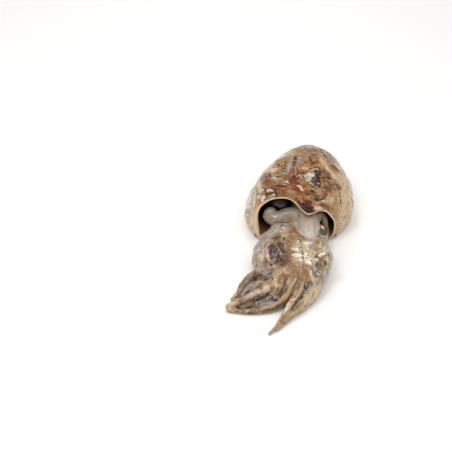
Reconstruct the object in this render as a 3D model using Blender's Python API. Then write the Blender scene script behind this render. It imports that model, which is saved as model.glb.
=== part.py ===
"""A whole raw cuttlefish, lying belly down with its head and arms spread in front of the mantle.

Row frame: metres, +Z up, the mantle's closed end towards +Y and the arms towards -Y. Left and right
are those of a viewer at the arms' end, with left towards -X. The origin is on the table, under the
middle of the whole animal. The flesh is one solid: mantle, fins, neck, head and arms. Each eyeball
sits in a socket of its own.
"""

import math

import bmesh
import bpy
import numpy as np

MM = 0.001

# Every place below is in millimetres from the foot of the mantle's mouth, on the table.
MOUTH_FROM_ORIGIN = (8.57, -1.0, 0.0)

MANTLE_LENGTH = 142.0
MANTLE_RIM_WALL = 3.0
MANTLE_WALL = 5.5
CUTTLEBONE_WALL = 8.5
CAVITY_DEPTH = 46.0
ARCH_DEPTH = 10.0
LIP_REACH = 15.5
PRESSED_FLAT = 1.2
WIDEST_HEIGHT = 0.43
FIN_THICKNESS = 3.4
FIN_SPAN = (7.0, 126.0)
FIN_START_LENGTH = 14.0
EYE_GAP = 0.3

VOXEL = 1.1
SKIN_SMOOTHING = 3
BODY_TRIANGLES = 10400

SKIN_BROWN = (0.40, 0.27, 0.16)
EYE_DARK = (0.05, 0.03, 0.05)


def through(stations, at):
    """Smooth values at the given places along rows of (place, value, value ...)."""
    rows = np.array(stations, float)
    at = np.clip(at, rows[0, 0], rows[-1, 0])
    left = np.clip(np.searchsorted(rows[:, 0], at, "right") - 1, 0, len(rows) - 2)
    span = (rows[left + 1, 0] - rows[left, 0])[:, None]
    slopes = np.gradient(rows[:, 1:], rows[:, 0], axis=0)
    t = ((at - rows[left, 0]) / span[:, 0])[:, None]
    start, end = rows[left, 1:], rows[left + 1, 1:]
    return (
        (2 * t**3 - 3 * t**2 + 1) * start
        + (t**3 - 2 * t**2 + t) * span * slopes[left]
        + (3 * t**2 - 2 * t**3) * end
        + (t**3 - t**2) * span * slopes[left + 1]
    )


def loft(rings):
    """A closed mesh over rings of points, with a point at each end: (points, faces)."""
    rings = np.asarray(rings)
    count, sides = rings.shape[:2]
    points = np.concatenate([rings.reshape(-1, 3), rings[[0, -1]].mean(axis=1)])
    first_tip, last_tip = count * sides, count * sides + 1
    faces = []
    for side in range(sides):
        after = (side + 1) % sides
        for ring in range(count - 1):
            low, high = ring * sides, (ring + 1) * sides
            faces.append((low + side, low + after, high + after, high + side))
        last = (count - 1) * sides
        faces.append((first_tip, after, side))
        faces.append((last_tip, last + side, last + after))
    return points, faces


def ball(centre, radii, turn=0.0, rings=14, sides=20):
    """An ellipsoid, turned about the vertical by an angle in degrees."""
    cos_turn, sin_turn = math.cos(math.radians(turn)), math.sin(math.radians(turn))
    around = np.linspace(0, 2 * math.pi, sides, endpoint=False)
    made = []
    for tilt in np.linspace(0, math.pi, rings)[1:-1]:
        x = radii[0] * math.sin(tilt) * np.cos(around)
        y = radii[1] * math.sin(tilt) * np.sin(around)
        z = np.full(sides, -radii[2] * math.cos(tilt))
        made.append(np.stack([x * cos_turn - y * sin_turn, x * sin_turn + y * cos_turn, z], axis=1))
    return loft(np.array(made) + np.array(centre))


# The mantle: a wide sac, open at the front, stiffened above by the cuttlebone. Each row is a place
# along it, the middle of its width, half of its width, and the heights of its back and of its belly.
MANTLE = (
    (-14.0, -6.0, 35.0, 42.0, -PRESSED_FLAT),
    (-2.0, -5.8, 38.6, 44.0, -PRESSED_FLAT),
    (8.0, -4.0, 44.5, 48.0, -PRESSED_FLAT),
    (20.0, -1.0, 49.6, 50.8, -PRESSED_FLAT),
    (45.0, 2.8, 49.5, 51.8, -PRESSED_FLAT),
    (75.0, 7.0, 45.5, 51.5, -PRESSED_FLAT),
    (100.0, 11.5, 36.5, 46.5, -PRESSED_FLAT),
    (118.0, 14.2, 27.0, 39.8, -0.4),
    (130.0, 15.4, 18.5, 33.0, 2.4),
    (138.0, 15.4, 10.5, 27.0, 6.4),
    (MANTLE_LENGTH, 15.2, 4.5, 22.5, 10.5),
)
MANTLE_SIDES = 72


def mantle_rim(turn):
    """How far back the rim lies at an angle round the mouth, in degrees: the dorsal lip reaches
    forward over the neck, and the flesh to its left is drawn back into a high arch."""
    arch = ARCH_DEPTH * np.exp(-(((turn - 130) / 55) ** 2))
    lip = LIP_REACH * np.exp(-(((turn - 73) / 17) ** 2))
    return 0.5 + arch - lip


def mantle_section(turn, place, inset):
    """Points round the mantle at places along it, drawn inwards by the wall's thickness."""
    centre, half_width, top, belly = through(MANTLE, place).T
    angle = np.radians(turn)
    upper = np.sin(angle) > 0
    middle = belly + WIDEST_HEIGHT * (top - belly)
    height = np.where(upper, top - middle, middle - belly)
    across = np.sign(np.cos(angle)) * np.abs(np.cos(angle)) ** np.where(upper, 0.9, 0.5)
    up = np.sign(np.sin(angle)) * np.abs(np.sin(angle)) ** np.where(upper, 0.92, 0.55)
    lean = 2.6 * np.clip(np.sin(angle), 0, 1)
    normal = np.stack([np.cos(angle) / half_width, np.sin(angle) / height], axis=1)
    normal /= np.linalg.norm(normal, axis=1)[:, None]
    x = centre + half_width * across - lean * across - normal[:, 0] * inset
    z = middle + height * up - normal[:, 1] * inset
    return np.stack([x, place, z], axis=1), centre, middle


def mantle():
    turn = np.linspace(-90, 270, MANTLE_SIDES, endpoint=False)
    rim = mantle_rim(turn)
    over_bone = np.exp(-(((turn - 88) / 45) ** 2))
    rings = []
    for share in 1 - np.linspace(0, 1, 34) ** 1.5:
        place = rim + (MANTLE_LENGTH - rim) * share
        rings.append(mantle_section(turn, place, 0.0)[0])
    for share in (0.25, 0.5, 0.75):
        bulge = MANTLE_RIM_WALL / 2 * math.sin(math.pi * share)
        rings.append(mantle_section(turn, rim - bulge, MANTLE_RIM_WALL * share)[0])
    for share in np.linspace(0, 1, 18)[:-1]:
        place = rim + (CAVITY_DEPTH - rim) * share
        inward = (1 - np.exp(-share * 5)) * (
            MANTLE_WALL - MANTLE_RIM_WALL + (CUTTLEBONE_WALL - MANTLE_WALL) * over_bone
        )
        ring, centre, middle = mantle_section(turn, place, MANTLE_RIM_WALL + inward)
        closing = math.sqrt(1 - share**4)
        ring[:, 0] = centre + (ring[:, 0] - centre) * closing
        ring[:, 2] = middle + (ring[:, 2] - middle) * closing
        rings.append(ring)
    return loft(rings)


# How far each fin stands out from the flank: a row of (place along the mantle, reach).
FIN_REACH = {
    "left": (-1, ((0, 0.5), (12, 3.0), (30, 4.4), (55, 4.4), (80, 0.8), (128, 0.0))),
    "right": (1, ((0, 4.5), (8, 5.0), (22, 2.6), (45, 3.8), (80, 2.4), (128, 0.0))),
}


def fin(side, reach):
    """A soft ribbon of muscle down one flank, folded down to the table and rippled at its edge."""
    radius = FIN_THICKNESS / 2
    rings = []
    for place in np.linspace(*FIN_SPAN, 64):
        centre, half_width, top, belly = through(MANTLE, np.array([place]))[0]
        out = through(reach, np.array([place]))[0, 0]
        ripple = 0.9 * math.sin(place / 5.2 + side) + 0.6 * math.sin(place / 2.7)
        grown = min(1.0, (place - FIN_SPAN[0]) / FIN_START_LENGTH)
        flank = centre + side * half_width
        root = np.array([flank - side * 2.2, 0.44 * top])
        elbow = np.array([flank + side * (grown * (1.8 * out + 2.6 + ripple) - 1.6), 0.36 * top])
        edge = np.array([flank + side * (grown * (0.3 * out + ripple) - 3.4), max(belly, 0) + 2.2])
        line = []
        for along in np.linspace(0, 1, 7):
            line.append((1 - along) ** 2 * root + 2 * along * (1 - along) * elbow + along**2 * edge)
        line = np.array(line)
        heading = np.gradient(line, axis=0)
        heading /= np.linalg.norm(heading, axis=1)[:, None]
        normal = np.stack([-heading[:, 1], heading[:, 0]], axis=1) * radius
        tip = line[-1] + heading[-1] * radius * np.array([[0.6], [0.9], [0.6]])
        tip += np.array([0.75, 0.0, -0.75])[:, None] * normal[-1]
        ring = np.concatenate([line + normal, tip, (line - normal)[::-1]])
        rings.append(np.stack([ring[:, 0], np.full(len(ring), place), ring[:, 1]], axis=1))
    return loft(rings)


# The head, flattened on the table: place along it, middle, half width, and height of its back.
HEAD = (
    (-106.0, -10.0, 8.0, 8.0),
    (-95.0, -8.5, 18.5, 17.0),
    (-85.0, -9.6, 24.5, 23.5),
    (-74.0, -10.2, 29.2, 28.5),
    (-65.0, -11.2, 33.0, 30.4),
    (-55.0, -11.6, 36.4, 30.8),
    (-45.0, -10.8, 37.6, 30.4),
    (-33.0, -9.8, 36.4, 29.4),
    (-22.0, -8.8, 32.6, 27.8),
    (-13.0, -6.2, 28.0, 24.4),
    (-7.0, -3.8, 23.5, 18.0),
    (-1.0, -3.0, 18.0, 9.0),
)


def head():
    turn = np.radians(np.linspace(-90, 270, 48, endpoint=False))
    rings = []
    for place in np.linspace(HEAD[-1][0], HEAD[0][0], 44):
        centre, half_width, top = through(HEAD, np.array([place]))[0]
        middle = 0.46 * top
        height = np.where(np.sin(turn) > 0, top - middle, middle + PRESSED_FLAT)
        up = np.sign(np.sin(turn)) * np.abs(np.sin(turn)) ** 0.85
        across = np.sign(np.cos(turn)) * np.abs(np.cos(turn)) ** 0.9
        x = centre + half_width * across
        rings.append(np.stack([x, np.full(len(turn), place), middle + height * up], axis=1))
    return loft(rings)


def limb(path, radii, slimming=0.6, steps=40, sides=16):
    """A round limb along a smooth path of (x, y, z), from its root's radius to its tip's. With
    slimming under 1 it slims soon after the root, and with 1 evenly."""
    rows = np.array(path, float)
    along = np.concatenate([[0], np.cumsum(np.linalg.norm(np.diff(rows, axis=0), axis=1))])
    line = through(np.column_stack([along, rows]), np.linspace(0, along[-1], steps))
    radius = radii[0] + (radii[1] - radii[0]) * np.linspace(0, 1, steps) ** slimming
    heading = np.gradient(line, axis=0)
    heading /= np.linalg.norm(heading, axis=1)[:, None]
    side = np.cross(heading, (0, 0, 1))
    side /= np.linalg.norm(side, axis=1)[:, None]
    above = np.cross(side, heading)
    turn = np.linspace(0, 2 * math.pi, sides, endpoint=False)
    rings = []
    for middle, size, across, up in zip(line, radius, side, above):
        rings.append(middle + size * (np.outer(np.cos(turn), across) + np.outer(np.sin(turn), up)))
    for end, way in ((0, -1), (-1, 1)):
        middle = line[end] + way * heading[end] * radius[end] * 0.7
        cap = middle + (rings[end] - line[end]) * 0.65
        rings = [cap, *rings] if way < 0 else [*rings, cap]
    return loft(rings)


# The arms, from the left one nearest the mantle round to the right: a path, and the radius at the
# root and at the tip. They lie on the table at their tips and climb over each other to the head.
ARMS = {
    "left_rear": (((-37, -66, 15), (-48, -70, 11), (-57, -80, 6.4), (-63, -88.5, 4), (-68.5, -93.5, 2.4)), (6.2, 2.0)),
    "left_pale": (((-28, -70, 13), (-44, -77, 7), (-54, -83.5, 4), (-64.8, -96.5, 2.2)), (6.0, 1.8)),
    "left_broad": (((-22, -79, 17), (-37, -89.5, 12.5), (-53, -98.5, 7.6), (-72, -105, 3.2)), (6.8, 3.2), 1.1),
    "left_inner": (((-21, -66, 20), (-21.5, -82, 18.5), (-24, -92, 13.5), (-27.5, -98, 7)), (7.0, 3.6), 1.1),
    "left_ridge": (((-24, -70, 19), (-27, -79, 16), (-28.5, -90, 11), (-31, -97, 6)), (4.0, 2.6)),
    "left_under": (((-24, -88, 6), (-34, -94.5, 5.4), (-44, -100, 4.4), (-60, -106.5, 2.8)), (6.4, 2.6), 1.0),
    "middle_long": (
        ((-7, -72, 16.5), (-12.8, -86.8, 15), (-20, -100, 10), (-31, -107, 5), (-48.5, -110.7, 3), (-71.5, -108.4, 2.2)),
        (6.5, 2.0),
    ),
    "right_ridge": (
        ((0, -76, 17), (-5.8, -94, 15.5), (-14, -106.3, 10.5), (-21, -117.7, 6), (-29, -131.5, 3.6), (-35.4, -139, 1.8)),
        (6.2, 1.8),
    ),
    "right_broad": (
        ((8.4, -72, 15), (3.8, -88.8, 12.5), (-0.8, -98.8, 9.5), (-12.9, -113.6, 6), (-30, -135.5, 2.4)),
        (7.2, 2.0),
        0.9,
    ),
    "right_outer": (((12.6, -60, 10.5), (9.5, -76.7, 8.5), (6.5, -87.3, 6.5), (0.4, -97, 4.6), (-15, -114.5, 2.6)), (9.0, 2.8), 1.0),
}

# The neck runs from the head back into the mantle, where it joins the roof under the cuttlebone.
NECK = ((6.3, -21, 20.0), (6.2, -12, 22.5), (5.6, 6, 24.0), (4.5, 30, 27.0), (4.0, 56, 28.0))
NECK_RADII = (11.2, 15.0)
# The collar's free edge shows under the raised arch: a round end, a dip, then a swell to the neck.
COLLAR = ((-31, 11.0, 23.6), (-23.4, 7.0, 21.8), (-12, 8.0, 25.0), (2, 8.0, 25))
COLLAR_RADII = (7.4, 9.6)

# Soft swellings: the middle, half sizes and turn of each.
SWELLINGS = {
    "collar_end": ((-29.8, 11.2, 23.6), (7.4, 8.0, 8.8), 0),
    "entrails": ((-3.0, 24.0, 10.0), (23.0, 36.0, 12.0), 0),
    "funnel_side": ((19.4, -7.0, 18.5), (4.0, 6.0, 5.4), 12),
    "funnel_flap": ((23.4, 3.0, 13.5), (2.5, 9.0, 11.5), 0),
    "left_shoulder": ((-17.0, -13.0, 18.5), (17.0, 13.0, 11.5), 12),
    "right_shoulder": ((18.5, -14.0, 15.0), (7.0, 9.0, 9.5), 0),
    "left_eye_dome": ((-25.6, -54.5, 20.6), (14.4, 19.0, 16.0), 4),
    "right_eye_dome": ((15.0, -59.0, 18.0), (10.5, 14.0, 13.6), -8),
    "left_skirt": ((-39.0, -60.0, 9.5), (9.0, 14.0, 9.5), -25),
    "left_web": ((-38.0, -93.0, 2.4), (22.0, 14.0, 4.6), 25),
    "right_web": ((-6.0, -103.0, 4.0), (7.0, 10.0, 5.0), -35),
}

# Each eyeball: its middle, its half sizes and its turn about the vertical.
EYES = {
    "eye_left": ((-30.4, -59.0, 29.2), (4.8, 9.0, 6.0), 8.0),
    "eye_right": ((20.6, -61.0, 26.6), (4.6, 7.4, 5.0), -14.0),
}


def new_mesh(name, parts, matter, smooth=True):
    """One object made of the given (points, faces), moved from the mouth's frame to the origin."""
    made = bmesh.new()
    for points, faces in parts:
        placed = (np.asarray(points) + MOUTH_FROM_ORIGIN) * MM
        corners = [made.verts.new(point) for point in placed]
        for face in faces:
            made.faces.new([corners[index] for index in face])
    bmesh.ops.recalc_face_normals(made, faces=made.faces[:])
    mesh = bpy.data.meshes.new(name)
    made.to_mesh(mesh)
    made.free()
    mesh.materials.append(matter)
    if smooth:
        mesh.shade_smooth()
    obj = bpy.data.objects.new(name, mesh)
    bpy.context.scene.collection.objects.link(obj)
    return obj


def material(name, colour, roughness):
    made = bpy.data.materials.new(name)
    made.use_nodes = True
    shader = made.node_tree.nodes["Principled BSDF"]
    shader.inputs["Base Color"].default_value = (*colour, 1.0)
    shader.inputs["Roughness"].default_value = roughness
    shader.inputs["Metallic"].default_value = 0.0
    return made


def cutter(name, parts, matter):
    obj = new_mesh(name, parts, matter, smooth=False)
    obj.hide_render = True
    obj.display_type = "WIRE"
    return obj


def cut(obj, name, other):
    boolean = obj.modifiers.new(name, "BOOLEAN")
    boolean.operation = "DIFFERENCE"
    boolean.object = other


def under_table():
    """A slab whose top is the table, so that what rests on it has a flat spot."""
    low, high = (-120.0, -180.0, -30.0), (120.0, 180.0, 0.0)
    rings = []
    for z in (low[2], high[2]):
        rings.append([(low[0], low[1], z), (high[0], low[1], z), (high[0], high[1], z), (low[0], high[1], z)])
    return loft(rings)


def flesh_parts():
    parts = [mantle(), head(), limb(NECK, NECK_RADII), limb(COLLAR, COLLAR_RADII, 1.0)]
    parts += [fin(*shape) for shape in FIN_REACH.values()]
    parts += [limb(*shape) for shape in ARMS.values()]
    parts += [ball(*shape) for shape in SWELLINGS.values()]
    return parts


def flesh(matter):
    """Every organ overlaps its neighbours. The remesh fuses them under one skin, as in the animal."""
    body = new_mesh("cuttlefish", flesh_parts(), matter)
    fuse = body.modifiers.new("fuse the organs", "REMESH")
    fuse.mode = "VOXEL"
    fuse.voxel_size = VOXEL * MM
    soften = body.modifiers.new("soften the joins", "SMOOTH")
    soften.factor = 0.5
    soften.iterations = SKIN_SMOOTHING
    fused = body.evaluated_get(bpy.context.evaluated_depsgraph_get()).to_mesh()
    fused.calc_loop_triangles()
    thin = body.modifiers.new("thin the faces", "DECIMATE")
    thin.ratio = BODY_TRIANGLES / len(fused.loop_triangles)
    cut(body, "rest on the table", cutter("table_cutter", [under_table()], matter))
    return body


def main():
    for obj in list(bpy.data.objects):
        bpy.data.objects.remove(obj, do_unlink=True)
    skin = material("skin", SKIN_BROWN, 0.35)
    eyeball = material("eyeball", EYE_DARK, 0.15)
    body = flesh(skin)
    for name, (centre, radii, turn) in EYES.items():
        new_mesh(name, [ball(centre, radii, turn)], eyeball)
        socket = [radius + EYE_GAP for radius in radii]
        cut(body, name + " socket", cutter(name + "_socket", [ball(centre, socket, turn)], skin))


main()
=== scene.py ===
import math

import bmesh
import bpy
import numpy as np
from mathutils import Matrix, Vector, noise
from mathutils.bvhtree import BVHTree
from mathutils.kdtree import KDTree


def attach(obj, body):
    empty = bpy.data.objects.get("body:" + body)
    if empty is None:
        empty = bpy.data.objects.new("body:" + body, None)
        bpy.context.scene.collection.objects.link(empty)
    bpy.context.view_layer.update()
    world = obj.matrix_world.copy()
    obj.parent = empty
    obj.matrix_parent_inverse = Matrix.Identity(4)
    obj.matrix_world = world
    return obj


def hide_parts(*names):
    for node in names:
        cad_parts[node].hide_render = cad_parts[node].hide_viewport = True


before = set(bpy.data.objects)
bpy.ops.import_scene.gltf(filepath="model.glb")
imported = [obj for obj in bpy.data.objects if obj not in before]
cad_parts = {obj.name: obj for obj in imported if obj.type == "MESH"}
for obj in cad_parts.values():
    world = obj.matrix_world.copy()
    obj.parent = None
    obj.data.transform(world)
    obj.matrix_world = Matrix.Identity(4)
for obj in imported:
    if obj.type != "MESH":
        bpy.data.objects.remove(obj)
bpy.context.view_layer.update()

# The camera. It stands at the arms' end and looks down on the table at the photograph's angle. Every
# place on the animal is measured in millimetres from the foot of the mantle's mouth, which lies at
# one known pixel of the photograph.
MM = 0.001
MOUTH_FROM_ORIGIN = np.array([8.57, -1.0, 0.0])
IMAGE_SIDE = 452
MOUTH_PIXEL = (300, 241)
MOUTH_DISTANCE = 1000.0
FOCUS_PIXELS = 1000.0
LOOK_DOWN = math.radians(36)

lens = bpy.data.cameras.new("camera")
lens.lens = lens.sensor_width * FOCUS_PIXELS / IMAGE_SIDE
camera = bpy.data.objects.new("camera", lens)
across_view = (MOUTH_PIXEL[0] - IMAGE_SIDE / 2) / FOCUS_PIXELS * MOUTH_DISTANCE
up_view = (IMAGE_SIDE / 2 - MOUTH_PIXEL[1]) / FOCUS_PIXELS * MOUTH_DISTANCE
camera_place = MOUTH_FROM_ORIGIN - (
    across_view,
    up_view * math.sin(LOOK_DOWN) + MOUTH_DISTANCE * math.cos(LOOK_DOWN),
    up_view * math.cos(LOOK_DOWN) - MOUTH_DISTANCE * math.sin(LOOK_DOWN),
)
camera.location = camera_place * MM
camera.rotation_euler = (math.pi / 2 - LOOK_DOWN, 0, 0)
bpy.context.scene.collection.objects.link(camera)
bpy.context.scene.camera = camera

# The mantle: a broad sac of white muscle, closed behind and open in front, with the cuttlebone under
# its back. A thin brown skin covers it, torn and rubbed off in patches that bare the white flesh. Its
# rim is drawn up into a high arch on the left and runs out into a lip over the neck.
MANTLE_LENGTH = 142.0
MANTLE_MEAN_RADIUS = 42
MANTLE_RIM_WALL = 1.6
MANTLE_LEFT_WALL = 6.0
MANTLE_ARCH_WALL = 1.0
MANTLE_WALL = 5.5
CUTTLEBONE_WALL = 8.5
CAVITY_DEPTH = 46.0
ARCH_DEPTH = 10.0
LIP_REACH = 15.5
PRESSED_FLAT = 1.2
WIDEST_HEIGHT = 0.43
SHOULDER_SLOPE = 2.6
TABLE_CLEARANCE = 0.15
END_BULGE = 2.4
END_TILTS = (12, 26, 42, 60, 78)
# Each row is a place along the mantle, the middle of its width, half of its width, and the heights of
# its back and of its belly.
MANTLE = (
    (-14.0, -6.0, 35.0, 42.0, -PRESSED_FLAT),
    (-2.0, -5.8, 38.6, 44.0, -PRESSED_FLAT),
    (8.0, -4.0, 44.5, 48.0, -PRESSED_FLAT),
    (20.0, -1.0, 49.6, 50.8, -PRESSED_FLAT),
    (45.0, 2.8, 49.5, 51.8, -PRESSED_FLAT),
    (75.0, 7.0, 45.5, 51.5, -PRESSED_FLAT),
    (100.0, 11.5, 36.5, 46.5, -PRESSED_FLAT),
    (118.0, 14.2, 27.0, 39.8, -0.4),
    (130.0, 15.4, 18.5, 33.0, 2.4),
    (138.0, 15.4, 10.5, 27.0, 6.4),
    (MANTLE_LENGTH, 15.2, 4.5, 22.5, 10.5),
)
MANTLE_SIDES = 300
BACK_RINGS = 240
RINGS_CROWD_TO_END = 1.12
RIM_RINGS = 6
CAVITY_RINGS = 30
CAVITY_WALL_GROWTH = 5
# Angles run round the mouth in degrees, from 0 at its right to 90 at its top. Each of these is the
# angle at which something is strongest and how far round it spreads.
ARCH_TURN = (130, 55)
LIP_TURN = (73, 17)
LEFT_WALL_TURN = (188, 36)
ARCH_WALL_TURN = (95, 45)
CUTTLEBONE_TURN = (88, 45)
RIM_SETBACK = 0.5
RIM_WAVER = 0.35
# How boxy a section is, across and upwards: 1 makes an ellipse, and less makes it squarer.
BACK_POWERS = (0.9, 0.92)
BELLY_POWERS = (0.5, 0.55)


def through(stations, at):
    """Smooth values at the given places along rows of (place, value, value ...)."""
    rows = np.array(stations, float)
    at = np.clip(at, rows[0, 0], rows[-1, 0])
    left = np.clip(np.searchsorted(rows[:, 0], at, "right") - 1, 0, len(rows) - 2)
    span = (rows[left + 1, 0] - rows[left, 0])[:, None]
    slopes = np.gradient(rows[:, 1:], rows[:, 0], axis=0)
    t = ((at - rows[left, 0]) / span[:, 0])[:, None]
    start, end = rows[left, 1:], rows[left + 1, 1:]
    return (
        (2 * t**3 - 3 * t**2 + 1) * start
        + (t**3 - 2 * t**2 + t) * span * slopes[left]
        + (3 * t**2 - 2 * t**3) * end
        + (t**3 - t**2) * span * slopes[left + 1]
    )


def loft(rings):
    """A closed mesh over rings of points, with a point at each end: (points, faces)."""
    rings = np.asarray(rings)
    count, sides = rings.shape[:2]
    points = np.concatenate([rings.reshape(-1, 3), rings[[0, -1]].mean(axis=1)])
    side, ring = np.meshgrid(np.arange(sides), np.arange(count - 1))
    after = (side + 1) % sides
    near, far = ring * sides, (ring + 1) * sides
    walls = np.stack([near + side, near + after, far + after, far + side], axis=-1)
    faces = walls.reshape(-1, 4).tolist()
    last = (count - 1) * sides
    for start in range(sides):
        following = (start + 1) % sides
        faces.append((count * sides, following, start))
        faces.append((count * sides + 1, last + start, last + following))
    return points, faces


def new_mesh(name, parts):
    """One smooth mesh of (points, faces), its faces turned outwards."""
    made = bmesh.new()
    for points, faces in parts:
        corners = [made.verts.new(point) for point in (np.asarray(points) + MOUTH_FROM_ORIGIN) * MM]
        for face in faces:
            made.faces.new([corners[index] for index in face])
    bmesh.ops.recalc_face_normals(made, faces=made.faces[:])
    mesh = bpy.data.meshes.new(name)
    made.to_mesh(mesh)
    made.free()
    mesh.shade_smooth()
    return mesh


def values_of(items, name, width, kind=np.float32):
    """What each point or edge of a mesh holds under a name, as a row of the given width."""
    flat = np.empty(len(items) * width, kind)
    items.foreach_get(name, flat)
    return flat.reshape(-1, width)


def places_of(mesh):
    """Every point of a mesh, in millimetres from the mouth."""
    return values_of(mesh.vertices, "co", 3).astype(float) / MM - MOUTH_FROM_ORIGIN


def move_to(mesh, points):
    """Puts the mesh's points at these places, none of them below the table."""
    points = points.copy()
    points[:, 2] = np.maximum(points[:, 2], TABLE_CLEARANCE)
    mesh.vertices.foreach_set("co", ((points + MOUTH_FROM_ORIGIN) * MM).astype(np.float32).ravel())
    mesh.update()


def normals_of(mesh):
    """The direction straight out of the surface at every point of a mesh."""
    return values_of(mesh.vertex_normals, "vector", 3).astype(float)


def lumps(points, size, octaves=3, shift=0.0):
    """Irregular relief from about -1 to 1, whose largest swells are of the given size."""
    moved = points / size + shift
    return np.array([noise.fractal(Vector(place), 1.0, 2.0, octaves) for place in moved])


# The noise that bends edges starts from a fixed number, so that every run bends them alike.
CROOKED_SEED = 27
noise.seed_set(CROOKED_SEED)


def crooked(points, size, amount):
    """The same places, each moved a little, so that what is drawn at them gets a crooked edge."""
    return points + amount * np.array([noise.noise_vector(Vector(place)) for place in points / size])


def step(values, low, high):
    """0 below low, 1 above high and smooth between them."""
    t = np.clip((values - low) / (high - low), 0, 1)
    return t * t * (3 - 2 * t)


def away_from(points, path):
    """Every point's distance from a line through the path's places."""
    rows = np.array(path, float).reshape(-1, 3)
    if len(rows) == 1:
        return np.linalg.norm(points - rows[0], axis=1)
    least = np.full(len(points), np.inf)
    for start, end in zip(rows[:-1], rows[1:]):
        run = end - start
        along = np.clip((points - start) @ run / max(run @ run, 1e-6), 0, 1)
        least = np.minimum(least, np.linalg.norm(points - start - along[:, None] * run, axis=1))
    return least


def marked(points, marks, soft=False):
    """How far each point lies inside marks on the skin: most along a mark's middle line, about half
    as much at its edge, and 0 outside. A mark is half of its breadth and then the places that it runs
    through. Crisp ones are fainter where they are narrow. Soft ones fade beyond their edges."""
    most = np.zeros(len(points))
    for breadth, *path in marks:
        gap = away_from(points, path) / breadth
        strength = min(1, 0.5 + breadth / 3.5)
        most = np.maximum(most, np.exp(-0.7 * gap**2) if soft else strength * np.clip(1.5 - gap, 0, 1))
    return most


def tree_of(mesh, points):
    """The mesh's surface with its points at these places, for finding what a ray or a spot meets."""
    faces = [tuple(face.vertices) for face in mesh.polygons]
    return BVHTree.FromPolygons([Vector(spot) for spot in points], faces)


MARK_STEP_PIXELS = 1.5


def laid(tree, marks):
    """Marks given at the photograph's pixels, laid on the surface where the camera sees them."""
    found = []
    for breadth, *pixels in marks:
        path = []
        for start, end in zip(pixels, pixels[1:] or pixels):
            for share in np.linspace(0, 1, 1 + math.ceil(math.dist(start, end) / MARK_STEP_PIXELS)):
                across = start[0] + (end[0] - start[0]) * share - IMAGE_SIDE / 2
                down = start[1] + (end[1] - start[1]) * share - IMAGE_SIDE / 2
                ray = Vector((across, -down, -FOCUS_PIXELS)).normalized()
                ray.rotate(camera.rotation_euler)
                spot = tree.ray_cast(Vector(camera_place - MOUTH_FROM_ORIGIN), ray)[0]
                if spot is not None:
                    path.append(tuple(spot))
        if path:
            found.append((breadth, *path))
    return found


def note(mesh, name, values):
    """Keeps a value, or a place in millimetres, at every point for the material to read."""
    kind = "FLOAT" if values.ndim == 1 else "FLOAT_VECTOR"
    kept = mesh.attributes.new(name, kind, "POINT")
    kept.data.foreach_set("value" if values.ndim == 1 else "vector", values.astype(np.float32).ravel())


def piece(name, mesh, matter):
    """Puts a finished mesh in the scene, with its material, on the animal's one body."""
    obj = bpy.data.objects.new(name, mesh)
    mesh.materials.append(matter)
    bpy.context.scene.collection.objects.link(obj)
    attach(obj, "root")
    return obj


def near_turn(turn, middle, spread):
    """1 at the middle angle round the mouth, falling to 0 beyond the spread."""
    return np.exp(-(((turn - middle) / spread) ** 2))


def mantle_rim(turn):
    """How far back the rim lies at an angle round the mouth."""
    return RIM_SETBACK + ARCH_DEPTH * near_turn(turn, *ARCH_TURN) - LIP_REACH * near_turn(turn, *LIP_TURN)


def rounded(wave, power):
    """A sine or cosine raised to a power, with its sign kept."""
    return np.sign(wave) * np.abs(wave) ** power


def mantle_section(turn, place, inset):
    """Points round the mantle at places along it, drawn inwards by the wall's thickness."""
    centre, half_width, top, belly = through(MANTLE, place).T
    angle = np.radians(turn)
    upper = np.sin(angle) > 0
    middle = belly + WIDEST_HEIGHT * (top - belly)
    height = np.where(upper, top - middle, middle - belly)
    across = rounded(np.cos(angle), np.where(upper, BACK_POWERS[0], BELLY_POWERS[0]))
    up = rounded(np.sin(angle), np.where(upper, BACK_POWERS[1], BELLY_POWERS[1]))
    lean = SHOULDER_SLOPE * np.clip(np.sin(angle), 0, 1)
    normal = np.stack([np.cos(angle) / half_width, np.sin(angle) / height], axis=1)
    normal /= np.linalg.norm(normal, axis=1)[:, None]
    x = centre + half_width * across - lean * across - normal[:, 0] * inset
    z = middle + height * up - normal[:, 1] * inset
    return np.stack([x, place, z], axis=1), centre, middle


# The points round a section stand closer together over the back.
evenly = np.linspace(-1, 1, MANTLE_SIDES, endpoint=False)
turn = 90 + 180 * (0.65 * evenly + 0.35 * evenly**3)
rim_wall = MANTLE_RIM_WALL + (MANTLE_LEFT_WALL - MANTLE_RIM_WALL) * near_turn(turn, *LEFT_WALL_TURN)
rim_wall -= (MANTLE_RIM_WALL - MANTLE_ARCH_WALL) * near_turn(turn, *ARCH_WALL_TURN)
rim = mantle_rim(turn) + RIM_WAVER * np.sin(np.radians(turn * 9)) * np.sin(np.radians(turn * 4 + 30))
over_bone = near_turn(turn, *CUTTLEBONE_TURN)

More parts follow.
